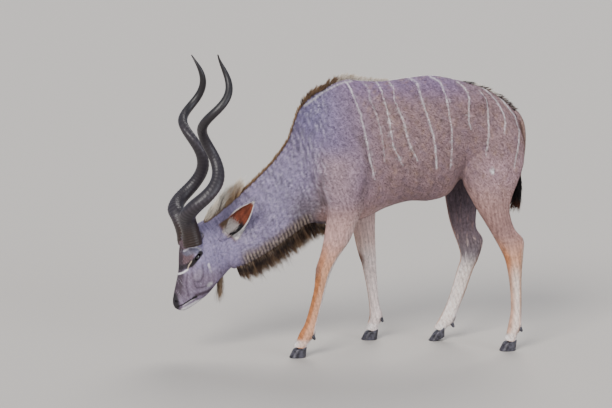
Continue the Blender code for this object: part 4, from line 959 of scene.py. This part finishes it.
def raw_mesh(name, points, faces):
    """A mesh of triangles from arrays."""
    mesh = bpy.data.meshes.new(name)
    mesh.vertices.add(len(points))
    mesh.vertices.foreach_set("co", np.ascontiguousarray(points, np.float32).ravel())
    mesh.loops.add(faces.size)
    mesh.loops.foreach_set("vertex_index", np.ascontiguousarray(faces, np.int32).ravel())
    mesh.polygons.add(len(faces))
    mesh.polygons.foreach_set("loop_start", np.arange(0, faces.size, 3, dtype=np.int32))
    mesh.update(calc_edges=True)
    return mesh


def give_places(mesh, uv, patch, faces):
    """Unwraps each sliver or strand to a small patch of its own, round the place of its root on the skin."""
    layer = mesh.uv_layers.new(name="OFBake")
    spots = (uv[:, None] + patch)[faces // len(patch), faces % len(patch)]
    layer.data.foreach_set("uv", spots.astype(np.float32).ravel())


TUFT_SINK, TUFT_RIDGE = 0.0005, 0.0011  # how deep a tuft is rooted, and how thick its ridge is
CLUMP_SIZE = 0.0085


def tuft_mesh(name, root, normal, uv, length, width, lift):
    """Thin solid slivers: two corners on the skin, a ridge between them and a tip."""
    way = lie_of(root, normal)
    across = np.cross(way, normal)
    size = length * rng.uniform(0.7, 1.25, len(root))
    rise = lift * rng.uniform(0.5, 1.6, len(root))
    base = root - normal * TUFT_SINK
    half = (width / 2)[:, None]
    verts = np.stack(
        (
            base + across * half,
            base - across * half,
            base + normal * TUFT_RIDGE + way * (size * 0.2)[:, None],
            root + way * (size * np.cos(rise))[:, None] + normal * (size * np.sin(rise))[:, None],
        ),
        axis=1,
    )
    faces = np.array(((0, 1, 2), (0, 2, 3), (2, 1, 3), (1, 0, 3)))
    faces = (faces[None] + 4 * np.arange(len(root))[:, None, None]).reshape(-1, 3)
    mesh = raw_mesh(name, verts.reshape(-1, 3), faces)
    clump = np.sin(np.floor(root / CLUMP_SIZE) @ (12.99, 78.23, 37.72)) * 43758.5 % 1  # a tone for each clump
    shade = rng.uniform(0.74, 1.20, (len(root), 1, 1)) * (0.72 + 0.52 * clump)[:, None, None]
    start, end = markings(root, normal), markings(root + way * (size * 0.9)[:, None], normal)
    tint = np.stack((start, start, 0.6 * start + 0.4 * end, end), axis=1) * shade
    tint[:, :3] *= 0.84  # darker below the tip
    paint_on(mesh, np.clip(tint, 0, 1).reshape(-1, 3))
    patch = np.array(((-0.5, 0.0), (0.5, 0.0), (0.0, 0.4), (0.0, 1.0))) * 0.003
    give_places(mesh, uv, patch, faces)
    return mesh


middle = ends.mean(1)
on_ear = np.zeros(len(middle), bool)
for ear in ears:
    t, _, off = ear_share(middle, ear)
    on_ear |= (off < 0.066) & (t > 0.05)
legs_part = on_legs(middle) > 0.5
head_part = (on_head(middle) > 0.5) & ~on_ear
neck_part = (middle[:, 0] < -0.2) & ~head_part & ~on_ear & ~legs_part
body_part = ~(legs_part | head_part | neck_part | on_ear)
bare = np.zeros(len(middle))
for side in (-1, 1):
    spot = np.array(head_place() @ Vector((EYE.x, side * (EYE.y + 0.018), EYE.z)))
    bare = np.maximum(bare, 1 - ramp(np.linalg.norm(middle - spot, axis=1), 0.020, 0.030))
muzzle = head_frame(middle)
bare = np.maximum(bare, 1 - ramp(np.hypot(muzzle[:, 0] + 0.912, muzzle[:, 2] - 0.285), 0.028, 0.045))
# Each sheet of coat: name, slot, where it grows, tufts, their length and width, and how far they lift.
COATS = (
    ("coat_left", "coat", body_part & (middle[:, 1] < 0), 49500, 0.0105, 0.0028, 0.12),
    ("coat_right", "coat", body_part & (middle[:, 1] >= 0), 49500, 0.0105, 0.0028, 0.12),
    ("coat_neck", "neck_coat", neck_part, 49500, 0.0085, 0.0023, 0.15),
    ("coat_head", "neck_coat", head_part, 46000, 0.0060, 0.0014, 0.12),
    ("coat_ears", "neck_coat", on_ear, 22000, 0.0080, 0.0013, 0.20),
    ("coat_legs", "leg_coat", legs_part, 49500, 0.0085, 0.0022, 0.12),
)
for name, slot, part, number, length, width, lift in COATS:
    root, normal, uv = scatter(number, part * (1 - bare))
    small = np.ones(number)
    if name == "coat_legs":  # shorter towards the hooves
        small = 1.0 - 0.45 * on_legs(root) * (1 - ramp(root[:, 2], 0.1, 0.4))
    elif name == "coat_head":  # and towards the muzzle
        small = 0.75 + 0.7 * ramp(head_frame(root)[:, 0], -0.80, -0.66)
    mesh = tuft_mesh(name, root, normal, uv, length * small, width * small, lift)
    coat = new_piece(name, mesh, hair, smooth=False)
    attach(coat, "root")


# Long hair. On the animal it stands on the crest of the neck and withers, hangs from the throat and the
# jaw, and tips the tail. Here each strand is a solid three-sided taper that bends along its length.
def long_hair(name, root, uv, start, length, radius, droop, low, high, between=None, steps=5):
    """A piece of strands, each with a colour at its root, another at its tip and, if given, one between."""
    number = len(root)
    start = start / np.linalg.norm(start, axis=1)[:, None]
    helper = np.cross(start, rng.normal(0, 1, start.shape))
    helper /= np.linalg.norm(helper, axis=1)[:, None]
    other = np.cross(start, helper)
    bend = np.array(droop) + rng.uniform(-1, 1, (number, 3)) * 0.10
    rings = []
    shades = []
    for i in range(steps):
        t = i / steps
        centre = root + start * (length * t)[:, None] + bend * (length * t * t)[:, None]
        for a in turns(3):
            rings.append(centre + (helper * math.cos(a) + other * math.sin(a)) * (radius * (1 - t) ** 0.7))
            if between is None:
                shades.append(low + (high - low) * t**1.5)
            elif t < 0.5:
                shades.append(low + (between - low) * min(1.0, t / 0.35))
            else:
                shades.append(between + (high - between) * (t - 0.5) / 0.5)
    rings.append(root + (start + bend) * length[:, None])
    shades.append(high)
    faces = [(0, 2, 1)]
    for i in range(steps - 1):
        for k in range(3):
            a, b = i * 3 + k, i * 3 + (k + 1) % 3
            faces += [(a, b, b + 3), (a, b + 3, a + 3)]
    last = (steps - 1) * 3
    faces += [(last, last + 1, last + 3), (last + 1, last + 2, last + 3), (last + 2, last, last + 3)]
    size = len(rings)
    faces = (np.array(faces)[None] + size * np.arange(number)[:, None, None]).reshape(-1, 3)
    mesh = raw_mesh(name, np.stack(rings, axis=1).reshape(-1, 3), faces)
    paint_on(mesh, np.clip(np.stack(shades, axis=1).reshape(-1, 3), 0, 1))
    give_places(mesh, uv, rng.uniform(-0.0015, 0.0015, (size, 2)), faces)
    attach(new_piece(name, mesh, hair), "root")


facing = normals[corners[triangles]].mean(1)
place = sheet[triangles].mean(1)
skin_tree = KDTree(len(middle))
for i, spot in enumerate(middle):
    skin_tree.insert(spot, i)
skin_tree.balance()


def rooted(wanted):
    """The nearest skin points to the wanted ones, with their normals and places on the unwrap."""
    nearest = [skin_tree.find(spot)[1] for spot in wanted]
    return middle[nearest], facing[nearest], place[nearest]


def along_line(line, t):
    """Points at shares t of a line of (x, z) corners."""
    line = np.array(line)
    lengths = np.concatenate(([0], np.cumsum(np.linalg.norm(np.diff(line, axis=0), axis=1))))
    t = t * lengths[-1]
    return np.stack((np.interp(t, lengths, line[:, 0]), np.interp(t, lengths, line[:, 1])), axis=1)


def colours_of(choices, number):
    """A colour for each strand, picked from (hex, share) pairs."""
    table = np.array([linear(text) for text, _ in choices])
    share = np.array([s for _, s in choices])
    return table[rng.choice(len(table), number, p=share / share.sum())]


def clumped(number, clumps):
    """Places along a line in clumps, with the clump of each."""
    group = rng.integers(0, clumps, number)
    return np.clip((group + 0.5 + rng.normal(0, 0.28, number)) / clumps, 0, 1), group


STRAND = 0.0010  # radius of a strand, which stands for a few hairs
CREST = ((-0.742, 0.698), (-0.708, 0.720), (-0.672, 0.747), *(s.top for s in NECK[6:0:-1]))
# The mane's height along the crest: a tall poll mane with a notch in it, then a low one.
MANE_PLACES = (0, 0.05, 0.10, 0.125, 0.15, 0.20, 0.235, 0.28, 0.80, 1.0)
MANE_HEIGHTS = (0.105, 0.140, 0.150, 0.112, 0.142, 0.140, 0.075, 0.030, 0.026, 0.040)
FIRST_CLUMP, POLL_MANE = 0.125, 0.24
number, clumps = 4200, 110
t, group = clumped(number, clumps)
t = np.where(t < 0.6, t * 0.40, 0.24 + (t - 0.6) * 1.9)  # most of it grows on the poll
flat = along_line(CREST, t)
way = along_line(CREST, np.clip(t + 0.01, 0, 1)) - along_line(CREST, np.clip(t - 0.01, 0, 1))
way = way / np.linalg.norm(way, axis=1)[:, None]
wanted = np.stack((flat[:, 0], rng.normal(0, 0.008, number) - 0.012 * (1 - t), flat[:, 1] + 0.004), axis=1)
root, normal, uv = rooted(wanted)
tall = np.interp(t, MANE_PLACES, MANE_HEIGHTS)
length = tall * rng.uniform(0.66, 1.06, number) * rng.uniform(0.84, 1.08, clumps)[group]
sway = rng.normal(0, 0.08, (clumps, 3))[group]
rise = np.interp(t, (0.0, 0.2, 0.3), (0.66, 0.60, 0.70))
start = np.stack((way[:, 0] * 0.8 - way[:, 1] * rise, np.zeros(number), way[:, 1] * 0.8 + way[:, 0] * rise), axis=1)
start += sway + rng.normal(0, 0.05, (number, 3))
first = (t < FIRST_CLUMP)[:, None]
low = colours_of((("#8a705a", 3), ("#a98e74", 3), ("#4a3a34", 1)), clumps)[group]
between = np.where(first, colours_of((("#efe4d3", 5), ("#2a2223", 2)), clumps)[group],
                   colours_of((("#cdb08c", 3), ("#93745a", 2)), clumps)[group])
high = np.where(first, colours_of((("#1e1a1d", 2), ("#f3eadc", 3)), clumps)[group],
                colours_of((("#fbf5ec", 5), ("#d9c8ae", 2)), clumps)[group])
behind_poll = (t > POLL_MANE)[:, None]
low = np.where(behind_poll, linear("#5a463a"), low)
between = np.where(behind_poll, linear("#83664c"), between)
high = np.where(behind_poll, linear("#a98a66"), high)
long_hair("mane", root, uv, start, length, STRAND, (0.16, 0.0, -0.08), low, high, between)

WITHERS = ((-0.238, 1.287), (-0.140, 1.356), (-0.02, 1.430), (0.09, 1.428), (0.22, 1.422))
number, clumps = 2400, 80
t, group = clumped(number, clumps)
flat = along_line(WITHERS, t)
wanted = np.stack((flat[:, 0], rng.normal(0, 0.007, number), flat[:, 1] + 0.003), axis=1)
root, normal, uv = rooted(wanted)
length = np.interp(t, (0, 0.2, 0.5, 0.7, 1), (0.042, 0.050, 0.044, 0.028, 0.014)) * rng.uniform(0.6, 1.1, number)
start = normal * 0.8 + np.array((0.55, 0, 0.35)) + rng.normal(0, 0.16, (clumps, 3))[group]
low = colours_of((("#4a372e", 3), ("#6d5744", 2)), clumps)[group]
pale = (t > 0.45)[:, None]
low = np.where(pale, linear("#cfc3b4"), low)
high = np.where(pale, colours_of((("#e6ddd0", 3), ("#b9a68f", 1)), clumps)[group],
                colours_of((("#7d6048", 2), ("#a98b68", 2), ("#4a372e", 1)), clumps)[group])
long_hair("mane_withers", root, uv, start, length, STRAND, (0.2, 0.0, -0.1), low, high)

THROAT = ((-0.572, 0.455), (-0.43, 0.510), (-0.345, 0.566), (-0.265, 0.622), (-0.19, 0.672), (-0.11, 0.672))
number, clumps = 5600, 130
t, group = clumped(number, clumps)
flat = along_line(THROAT, t)
spread = rng.normal(0, 0.017, number)
wanted = np.stack((flat[:, 0], spread + 0.006 * (1 - t), flat[:, 1] - 0.004 + 6.0 * spread**2), axis=1)
root, normal, uv = rooted(wanted)
length = np.interp(t, (0, 0.08, 0.5, 0.85, 1), (0.058, 0.086, 0.094, 0.092, 0.070)) * rng.uniform(0.55, 1.12, number)
wisp = (rng.random(clumps) > 0.93)[group] & (rng.random(number) > 0.6)
length *= 1 + 0.40 * wisp
start = np.array((0.36, 0.0, -0.92)) + normal * 0.10
start = start + rng.normal(0, 0.08, (clumps, 3))[group] + rng.normal(0, 0.05, (number, 3))
start[:, 1] -= spread * 6.0
kind = rng.random(clumps)[group]
pale = ((kind > 0.62) | (rng.random(number) > 0.85))[:, None]
low = np.where(pale, colours_of((("#b39d87", 3), ("#8a7059", 2)), number),
               colours_of((("#40332f", 3), ("#6b5548", 2)), number))
between = np.where((kind > 0.86)[:, None], colours_of((("#7d6350", 2), ("#5a463a", 2)), number),
                   colours_of((("#241b1c", 5), ("#3d2f2b", 2)), number))
high = np.where(pale, colours_of((("#b3946f", 3), ("#7d5c42", 2)), number),
                colours_of((("#5b4234", 3), ("#2e2321", 2), ("#94714f", 2)), number))
long_hair("throat_fringe", root, uv, start, length, STRAND, (0.10, 0.0, 0.0), low, high, between)

number = 260
spread = rng.normal(0, 1, (number, 3)) * (0.009, 0.008, 0.006)
wanted = np.array([head_place() @ (Vector((-0.660, 0.0, 0.392)) + Vector(off)) for off in spread])
root, normal, uv = rooted(wanted)
length = rng.uniform(0.055, 0.112, number)
start = np.array((-0.10, 0, -1.0)) + normal * 0.2 + rng.normal(0, 0.09, (number, 3))
low = colours_of((("#a08a70", 2), ("#7d6550", 1)), number)
high = colours_of((("#6b4f3a", 2), ("#3c2c25", 2), ("#a58c70", 1)), number)
long_hair("jaw_tuft", root, uv, start, length, 0.0009, (-0.05, 0.0, -0.2), low, high)

CROUP = ((0.62, 1.415), (0.65, 1.405), (0.74, 1.374), (0.83, 1.318), (0.895, 1.252))
number, clumps = 1100, 44
t, group = clumped(number, clumps)
flat = along_line(CROUP, t)
wanted = np.stack((flat[:, 0], rng.normal(0, 0.007, number), flat[:, 1] + 0.003), axis=1)
root, normal, uv = rooted(wanted)
length = rng.uniform(0.016, 0.030, number) * (0.5 + 0.5 * ramp(t, 0.0, 0.2))
start = normal * 0.6 + np.array((0.8, 0, -0.2)) + rng.normal(0, 0.12, (clumps, 3))[group]
x = root[:, 0]
white = (np.abs(x - 0.685) < 0.020) | (np.abs(x - 0.775) < 0.014)  # where the stripes cross the crest
white |= (x > 0.66) & (x < 0.80) & (rng.random(clumps) > 0.55)[group]
white = white[:, None]
low = np.where(white, linear("#cfc6bc"), colours_of((("#33282a", 3), ("#5a4640", 2)), clumps)[group])
high = np.where(white, linear("#efe9e2"), colours_of((("#2a2124", 3), ("#6a5248", 2)), clumps)[group])
long_hair("croup_crest", root, uv, start, length, STRAND, (0.1, 0.0, -0.1), low, high)

number = 1500
t = rng.random(number)
angle = rng.uniform(0, 2 * math.pi, number)
wanted = np.stack((0.932 - 0.014 * t + 0.012 * np.cos(angle), 0.016 * np.sin(angle), 0.905 - 0.13 * t), axis=1)
root, normal, uv = rooted(wanted)
length = rng.uniform(0.035, 0.075, number)
start = np.array((-0.10, 0, -1.0)) + normal * 0.25 + rng.normal(0, 0.06, (number, 3))
low = np.tile(linear("#1c1516"), (number, 1))
high = np.where((t > 0.70)[:, None], linear("#6b3d25"), linear("#1a1314"))
long_hair("tail_tuft", root, uv, start, length, STRAND, (-0.10, 0.0, -0.1), low, high)


# The horns. Each is a hollow sheath of keratin on a bony core, in two and a half open turns, with a keel
# along the outside of its coil and worn cross ridges over its lower two thirds.
HORN_ROOT = Vector((-0.8314, -0.066, 0.6055))  # the left one's, in the head's own upright frame
HORN_LENGTH = 0.9802  # straight from root to tip
HORN_TILT, HORN_SPLAY = math.radians(8.6), math.radians(13.0)
HORN_RADII = (0.0475, 0.0425, 0.0385, 0.0345, 0.0310, 0.0275, 0.0250, 0.0230, 0.0205, 0.0150, 0.0035)
HORN_SUNK = 0.022  # the share of the length that is hidden in the head
RIDGE_SPACING = 0.0125  # the cross ridges' at the root, as a share of the length; they widen upwards


def horn_line(s, side):
    """The middle of a horn at s from 0 at its root to 1 at its tip, in the head's own frame."""
    up = Vector((math.sin(HORN_TILT), 0, math.cos(HORN_TILT)))
    front = Vector((-math.cos(HORN_TILT), 0, math.sin(HORN_TILT)))
    lateral = Vector((0, -1, 0))
    axis = up * math.cos(HORN_SPLAY) + lateral * math.sin(HORN_SPLAY)
    out = lateral * math.cos(HORN_SPLAY) - up * math.sin(HORN_SPLAY)
    back = max(0.0, min(1.0, (0.24 - s) / 0.16))
    point = HORN_ROOT + axis * (HORN_LENGTH * s)
    point.x += (0.019 + 0.006 * min(1.0, s / 0.06)) * back * back * (3 - 2 * back)
    for place, sign in ((s, 1), (0.0, -1)):  # the coil, from its own start
        angle = math.pi * (-0.411 + 3.267 * place + 0.880 * place * place)
        wide = (0.0785 - 0.0388 * place) * (0.526 + 0.474 * min(1.0, place / 0.15))
        aside = wide * math.sin(angle)
        if aside < 0:  # near their roots the two stay apart
            aside *= min(1.0, 0.15 + 3.0 * place)
        point += (front * (wide * math.cos(angle)) + out * aside) * sign
    point -= front * (0.0098 * 4 * s * (1 - s))
    if side > 0:
        point.y = -point.y
    return point


def horn_point(s, side):
    """The same, and straight on into the head below 0."""
    if s >= 0:
        return horn_line(s, side)
    start = horn_line(0.0, side)
    return start + (start - horn_line(0.03, side)).normalized() * (-s)


# Horn is keratin, grown in long fibres and rubbed smooth in wear. It has a low satin gloss, and streaks that
# run up it, 4 mm wide and 17 mm long.
STREAK_WIDTH_MM, STREAK_LENGTH_MM = 3.846, 16.67
horn_paint, tree, shader = new_material("horn")
paint = add_node(tree, "ShaderNodeAttribute", {"attribute_name": "paint"})
where = add_node(tree, "ShaderNodeTexCoord")
stretch = add_node(tree, "ShaderNodeMapping", None, {
    "Vector": where.outputs["Object"],
    "Scale": (1000 / STREAK_WIDTH_MM, 1000 / STREAK_WIDTH_MM, 1000 / STREAK_LENGTH_MM),
})
streak = add_node(tree, "ShaderNodeTexNoise", None,
                  {"Vector": stretch.outputs["Vector"], "Scale": 1.0, "Detail": 5.0})
tone = add_node(tree, "ShaderNodeMapRange", None, {"Value": streak.outputs["Fac"], "To Min": 0.6, "To Max": 1.35})
mixed = add_node(tree, "ShaderNodeVectorMath", {"operation": "SCALE"},
                 {0: paint.outputs["Color"], "Scale": tone.outputs["Result"]})
tree.links.new(mixed.outputs["Vector"], shader.inputs["Base Color"])
bump = add_node(tree, "ShaderNodeBump", None, {"Height": streak.outputs["Fac"], "Strength": 0.6, "Distance": 0.0012})
tree.links.new(bump.outputs["Normal"], shader.inputs["Normal"])
shader.inputs["Roughness"].default_value = 0.42

HORN_RINGS, HORN_SIDES, GUIDES = 520, 44, 20
for name, side in (("horn_left", -1), ("horn_right", 1)):
    guide = [horn_line(k / GUIDES, side) for k in range(GUIDES + 1)]
    core = [  # the line that the horn coils round
        sum((guide[max(0, min(GUIDES, k + j))] for j in range(-5, 6)), Vector()) / 11 for k in range(GUIDES + 1)
    ]
    rings, places = [], []
    for i in range(HORN_RINGS + 1):
        s = -HORN_SUNK + (1 + HORN_SUNK) * i / HORN_RINGS
        up_it = max(s, 0.0)
        centre = horn_point(s, side)
        ahead = (horn_point(min(s + 0.004, 1.0), side) - horn_point(s - 0.004, side)).normalized()
        at = up_it * GUIDES
        k = min(int(at), GUIDES - 1)
        outward = centre - core[k].lerp(core[k + 1], at - k)
        outward -= ahead * outward.dot(ahead)
        if s < 0.05:
            fixed = Vector((-1, -side * 0.2, 0.1))
            fixed -= ahead * fixed.dot(ahead)
            outward = outward.normalized().lerp(fixed.normalized(), 1 - up_it / 0.05)
        outward.normalize()
        sideways = ahead.cross(outward)
        radius = spline(HORN_RADII, up_it * (len(HORN_RADII) - 1))
        fade = 1 - ramp(np.array([s]), 0.50, 0.72)[0]
        phase = 2 * math.pi * (s / RIDGE_SPACING - 22 * s * s)
        ring = []
        for a in turns(HORN_SIDES):
            keel = 0.13 * max(0.0, math.cos(a)) ** 6 * (1 - up_it**4)
            ridge = 0.040 * fade * (0.5 + 0.5 * math.cos(phase + 0.9 * math.sin(a * 2 + 5 * s))) ** 1.5
            ridge *= 0.40 + 0.60 * max(0.0, math.cos(a * 0.5)) ** 2
            swell = 1 + keel + ridge - 0.022
            ring.append(centre + (outward * math.cos(a) + sideways * math.sin(a)) * radius * swell)
            places.append((s, ridge, keel))
        rings.append(ring)
    mesh = head_tube(rings, name)
    s, ridge, keel = np.array(places).T
    base, grey, high = (np.array(linear(text)) for text in ("#2f201b", "#312b31", "#2b272a"))
    part = ramp(s, 0.03, 0.13)[:, None]
    colour = base * (1 - part) + grey * part
    part = ramp(s, 0.45, 0.8)[:, None]
    colour = colour * (1 - part) + high * part
    colour = colour * (0.62 + 14 * ridge + 2.2 * keel)[:, None]  # paler where it stands out, partly from wear and partly a painted highlight, and darker between: painted shade
    paint_on(mesh, np.clip(colour, 0, 1))
    horn = new_piece(name + "_sheath", mesh, horn_paint)
    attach(horn, "root")
    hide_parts(name)


# The hair at the horns' roots and in the ears. Short pale hair grows up round the foot of each horn, and
# long white hair stands in the lower half of each ear.
FOOT_RISE, FOOT_RING = 0.010, 0.060  # how far up the horn, and how far out from its middle
number = 900
wanted, start = np.empty((number, 3)), np.empty((number, 3))
for i, (side, angle) in enumerate(zip(rng.choice((-1, 1), number), rng.uniform(0, 2 * math.pi, number))):
    foot = horn_line(0.0, side)
    ahead = (horn_line(0.03, side) - foot).normalized()
    u = ahead.orthogonal().normalized()
    out = u * math.cos(angle) + ahead.cross(u) * math.sin(angle)
    wanted[i] = head_place() @ (foot + ahead * FOOT_RISE + out * FOOT_RING)
    start[i] = head_place().to_3x3() @ (ahead * 0.95 - out * 0.05)
root, normal, uv = rooted(wanted)
start += rng.normal(0, 0.16, (number, 3))
low = colours_of((("#6f6577", 3), ("#574c56", 2)), number)
high = colours_of((("#d8d2da", 3), ("#8f8592", 2), ("#6d5a55", 1)), number)
length = rng.uniform(0.010, 0.024, number)
long_hair("horn_foot_hair", root, uv, start, length, 0.0007, (0, 0, 0), low, high)

number = 1300
wanted, start = np.empty((number, 3)), np.empty((number, 3))
t = rng.uniform(0.0, 1.0, number) ** 1.3 * 0.34
for i in range(number):
    ear_root, ear_tip, face, across = ears[i % 2]
    v = rng.uniform(-0.75, 0.40) * (1 if across.z < 0 else -1)
    half = np.interp(t[i], EAR_PLACES, EAR_HALVES)
    wanted[i] = ear_root.lerp(ear_tip, t[i]) + across * (v * half) - face * 0.014
    start[i] = (ear_tip - ear_root).normalized() * 0.85 + face * 0.35
root, normal, uv = rooted(wanted)
start += rng.normal(0, 0.18, (number, 3))
length = rng.uniform(0.018, 0.036, number)
low = colours_of((("#cfc6c4", 3), ("#a0928c", 1)), number)
high = colours_of((("#f6f1ee", 4), ("#d8ccc2", 1)), number)
long_hair("ear_hair", root, uv, start, length, 0.0006, (0, 0, 0), low, high)


# The eyes. Glass on a museum model, dark brown, wet and set as deep as the lids let them show.
# Dark brown glass, blown and polished. It is almost black, with a sharp wet highlight.
eye_paint, tree, shader = new_material("eye_glass")
shader.inputs["Base Color"].default_value = (*linear("#0c0706"), 1.0)
shader.inputs["Roughness"].default_value = 0.05
shader.inputs["Coat Weight"].default_value = 0.6
for name, side in (("eye_left", -1), ("eye_right", 1)):
    ball = new_piece(name + "_glass", eyeball(side, EYE_RADIUS - 0.0002, 48), eye_paint)
    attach(ball, "root")
    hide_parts(name)


# The hooves. Each foot stands on two blue-black claws of horn, with worn growth rings round them, and has
# two small dewclaws behind its fetlock.
# Each foot: the middle of its coronet, that one's height, how far the foot is tipped up on its toes and
# turned out, in degrees, and the middle of its two dewclaws.
FEET = {
    "front_left": ((-0.258, -0.167), 0.0485, 0.0, 4, (-0.186, -0.165, 0.103)),
    "front_right": ((0.172, 0.170), 0.0485, 0.0, -4, (0.226, 0.168, 0.108)),
    "hind_left": ((0.858, -0.157), 0.0485, 0.0, 3, (0.914, -0.155, 0.112)),
    "hind_right": ((0.529, 0.105), 0.056, 20.0, -2, (0.603, 0.107, 0.082)),
}
# One claw's outline seen from above, from its toe round its outer wall to its heel and back along the cleft.
CLAW = (
    (-1.0, 0.10), (-0.96, 0.36), (-0.86, 0.62), (-0.68, 0.83), (-0.45, 0.96), (-0.18, 1.0), (0.10, 1.0),
    (0.38, 0.95), (0.62, 0.84), (0.82, 0.66), (0.95, 0.45), (1.0, 0.22), (0.97, 0.05), (0.8, 0.0),
    (0.6, 0.0), (0.3, 0.0), (0.0, 0.0), (-0.3, 0.0), (-0.6, 0.0), (-0.85, 0.02),
)
CLAW_LENGTH, CLAW_WIDTH, CLEFT = 0.0375, 0.0305, 0.0016  # half its length, its width, and half the gap
CORONET_TILT = 14
CLAW_LEVELS = (0.0, 0.04, 0.12, 0.24, 0.36, 0.48, 0.60, 0.72, 0.84, 0.94, 0.985, 1.0)  # coronet to sole
# A dewclaw's rings from its root to its tip: height and radius.
DEWCLAW = ((-0.013, 0.0098), (-0.0115, 0.0112), (0.0, 0.0090), (0.008, 0.0068), (0.012, 0.0045), (0.013, 0.0020))

# Hoof is keratin, worn by the ground. It is blue-black with pale scuffs about 17 mm wide, satin, and ringed
# by the bands it grows in, 4 mm apart.
GROWTH_BAND_MM, SCUFF_MM = 4.189, 16.67
hoof_paint, tree, shader = new_material("hoof")
where = add_node(tree, "ShaderNodeTexCoord")
bands = add_node(tree, "ShaderNodeTexWave", {"bands_direction": "Z"}, {
    "Vector": where.outputs["Object"], "Scale": 2 * math.pi / 20 * 1000 / GROWTH_BAND_MM,
    "Distortion": 2.5, "Detail": 3.0,
})
worn = add_node(tree, "ShaderNodeTexNoise", None,
                {"Vector": where.outputs["Object"], "Scale": 1000 / SCUFF_MM, "Detail": 4.0})
tint = add_node(tree, "ShaderNodeValToRGB", None, {"Fac": worn.outputs["Fac"]})
for stop, text, position in zip(tint.color_ramp.elements, ("#1f1d24", "#5a5763"), (0.35, 0.75)):
    stop.color = (*linear(text), 1)
    stop.position = position
tree.links.new(tint.outputs["Color"], shader.inputs["Base Color"])
bump = add_node(tree, "ShaderNodeBump", None, {"Height": bands.outputs["Fac"], "Strength": 0.35, "Distance": 0.001})
tree.links.new(bump.outputs["Normal"], shader.inputs["Normal"])
shader.inputs["Roughness"].default_value = 0.38


def hoof_piece(name, mesh, node):
    """A finished claw or dewclaw, in place of its node."""
    made = new_piece(name, mesh, hoof_paint)
    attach(made, "root")
    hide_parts(node)
    return made


for foot, ((x, y), z, pitch, turn, knob) in FEET.items():
    coronet = Matrix.Translation((x, y, z)) @ Matrix.Rotation(math.radians(turn), 4, "Z")
    coronet = coronet @ Matrix.Rotation(math.radians(-CORONET_TILT - pitch), 4, "Y")
    for letter, side in (("left", -1), ("right", 1)):
        rings = []
        for t in CLAW_LEVELS:
            grow = 1 + 0.16 * t - 0.05 * max(0.0, 1 - t / 0.06) - 0.035 * max(0.0, (t - 0.94) / 0.06) ** 2
            ring = []
            for u, v in CLAW:
                along = u * CLAW_LENGTH * grow
                out = CLEFT + v * CLAW_WIDTH * (1 + 0.05 * t) * (grow - 0.16 * t)
                start = coronet @ Vector((along, side * out, -0.0003))
                sole = Vector((along - 0.013, side * out, 0))
                sole.rotate(Matrix.Rotation(math.radians(turn), 3, "Z"))
                end = Vector((x + sole.x, y + sole.y, 0.0))
                if pitch:
                    end.z = max(0.0, (sole.x + 0.028) * math.tan(math.radians(pitch)))
                ring.append(start.lerp(end, t))
            rings.append(ring)
        bm = bmesh.new()
        add_tube(bm, rings)
        claw = hoof_piece(f"hoof_{foot}_{letter}", mesh_of(bm, "hoof"), f"claw_{foot}_{letter}")
        claw.data.set_sharp_from_angle(angle=math.radians(40))
        axis = Vector((0.55, side * 0.35, -1.0)).normalized()
        at = Matrix.Translation(Vector(knob) + Vector((0, side * 0.015, 0)))
        at = at @ axis.to_track_quat("Z", "Y").to_matrix().to_4x4()
        bm = bmesh.new()
        add_tube(bm, [
            [at @ Vector((radius * math.cos(a), radius * math.sin(a), level)) for a in turns(24)]
            for level, radius in DEWCLAW
        ])
        hoof_piece(f"dewclaw_horn_{foot}_{letter}", mesh_of(bm, "dewclaw"), f"dewclaw_{foot}_{letter}")


# The floor, the light and the view. A pale plain ground, wide enough to fill the picture behind the animal.
FLOOR_REACH = 70.0
bm = bmesh.new()
bmesh.ops.create_grid(bm, x_segments=1, y_segments=1, size=FLOOR_REACH)
mesh = bpy.data.meshes.new("floor")
bm.to_mesh(mesh)
bm.free()
# Pale matt paint on a level floor, with no pattern.
floor_paint, tree, shader = new_material("floor")
shader.inputs["Base Color"].default_value = (*linear("#b9b4ae"), 1.0)
shader.inputs["Roughness"].default_value = 0.9
mesh.materials.append(floor_paint)
floor = bpy.data.objects.new("floor", mesh)
bpy.context.scene.collection.objects.link(floor)
floor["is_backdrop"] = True

world = bpy.data.worlds.new("studio")
world.use_nodes = True
world.node_tree.nodes["Background"].inputs["Color"].default_value = (0.80, 0.86, 1.0, 1.0)
world.node_tree.nodes["Background"].inputs["Strength"].default_value = 0.52
bpy.context.scene.world = world

target = Vector((0.0, 0.0, 0.85))
for name, spot, softness, strength, tone in (
    ("key", (-3.4, -4.8, 5.2), 0.47, 3.2, (1.0, 0.97, 0.93)),
    ("fill", (4.4, -4.6, 2.4), 0.60, 1.35, (0.90, 0.93, 1.0)),
    ("back", (1.4, 3.4, 4.6), 0.55, 1.9, (1.0, 0.98, 0.95)),
):
    lamp = bpy.data.lights.new(name, "SUN")
    lamp.angle, lamp.energy, lamp.color = softness, strength, tone
    holder = bpy.data.objects.new(name, lamp)
    holder.location = spot
    holder.rotation_euler = (target - Vector(spot)).to_track_quat("-Z", "Y").to_euler()
    bpy.context.scene.collection.objects.link(holder)

camera = bpy.data.cameras.new("camera")
camera.lens = 108.6
camera.sensor_width = 36
seen_from = bpy.data.objects.new("camera", camera)
seen_from.location = Vector((-1.363, -9.429, 2.4)) - ORIGIN
aim = Vector((-0.205, 0.0, 0.777)) - ORIGIN
seen_from.rotation_euler = (aim - seen_from.location).to_track_quat("-Z", "Y").to_euler()
bpy.context.scene.collection.objects.link(seen_from)
bpy.context.scene.camera = seen_from

looks_low, looks_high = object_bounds()
sizes = {"cad": [list(cad_low), list(cad_high)], "visual": [list(looks_low), list(looks_high)]}
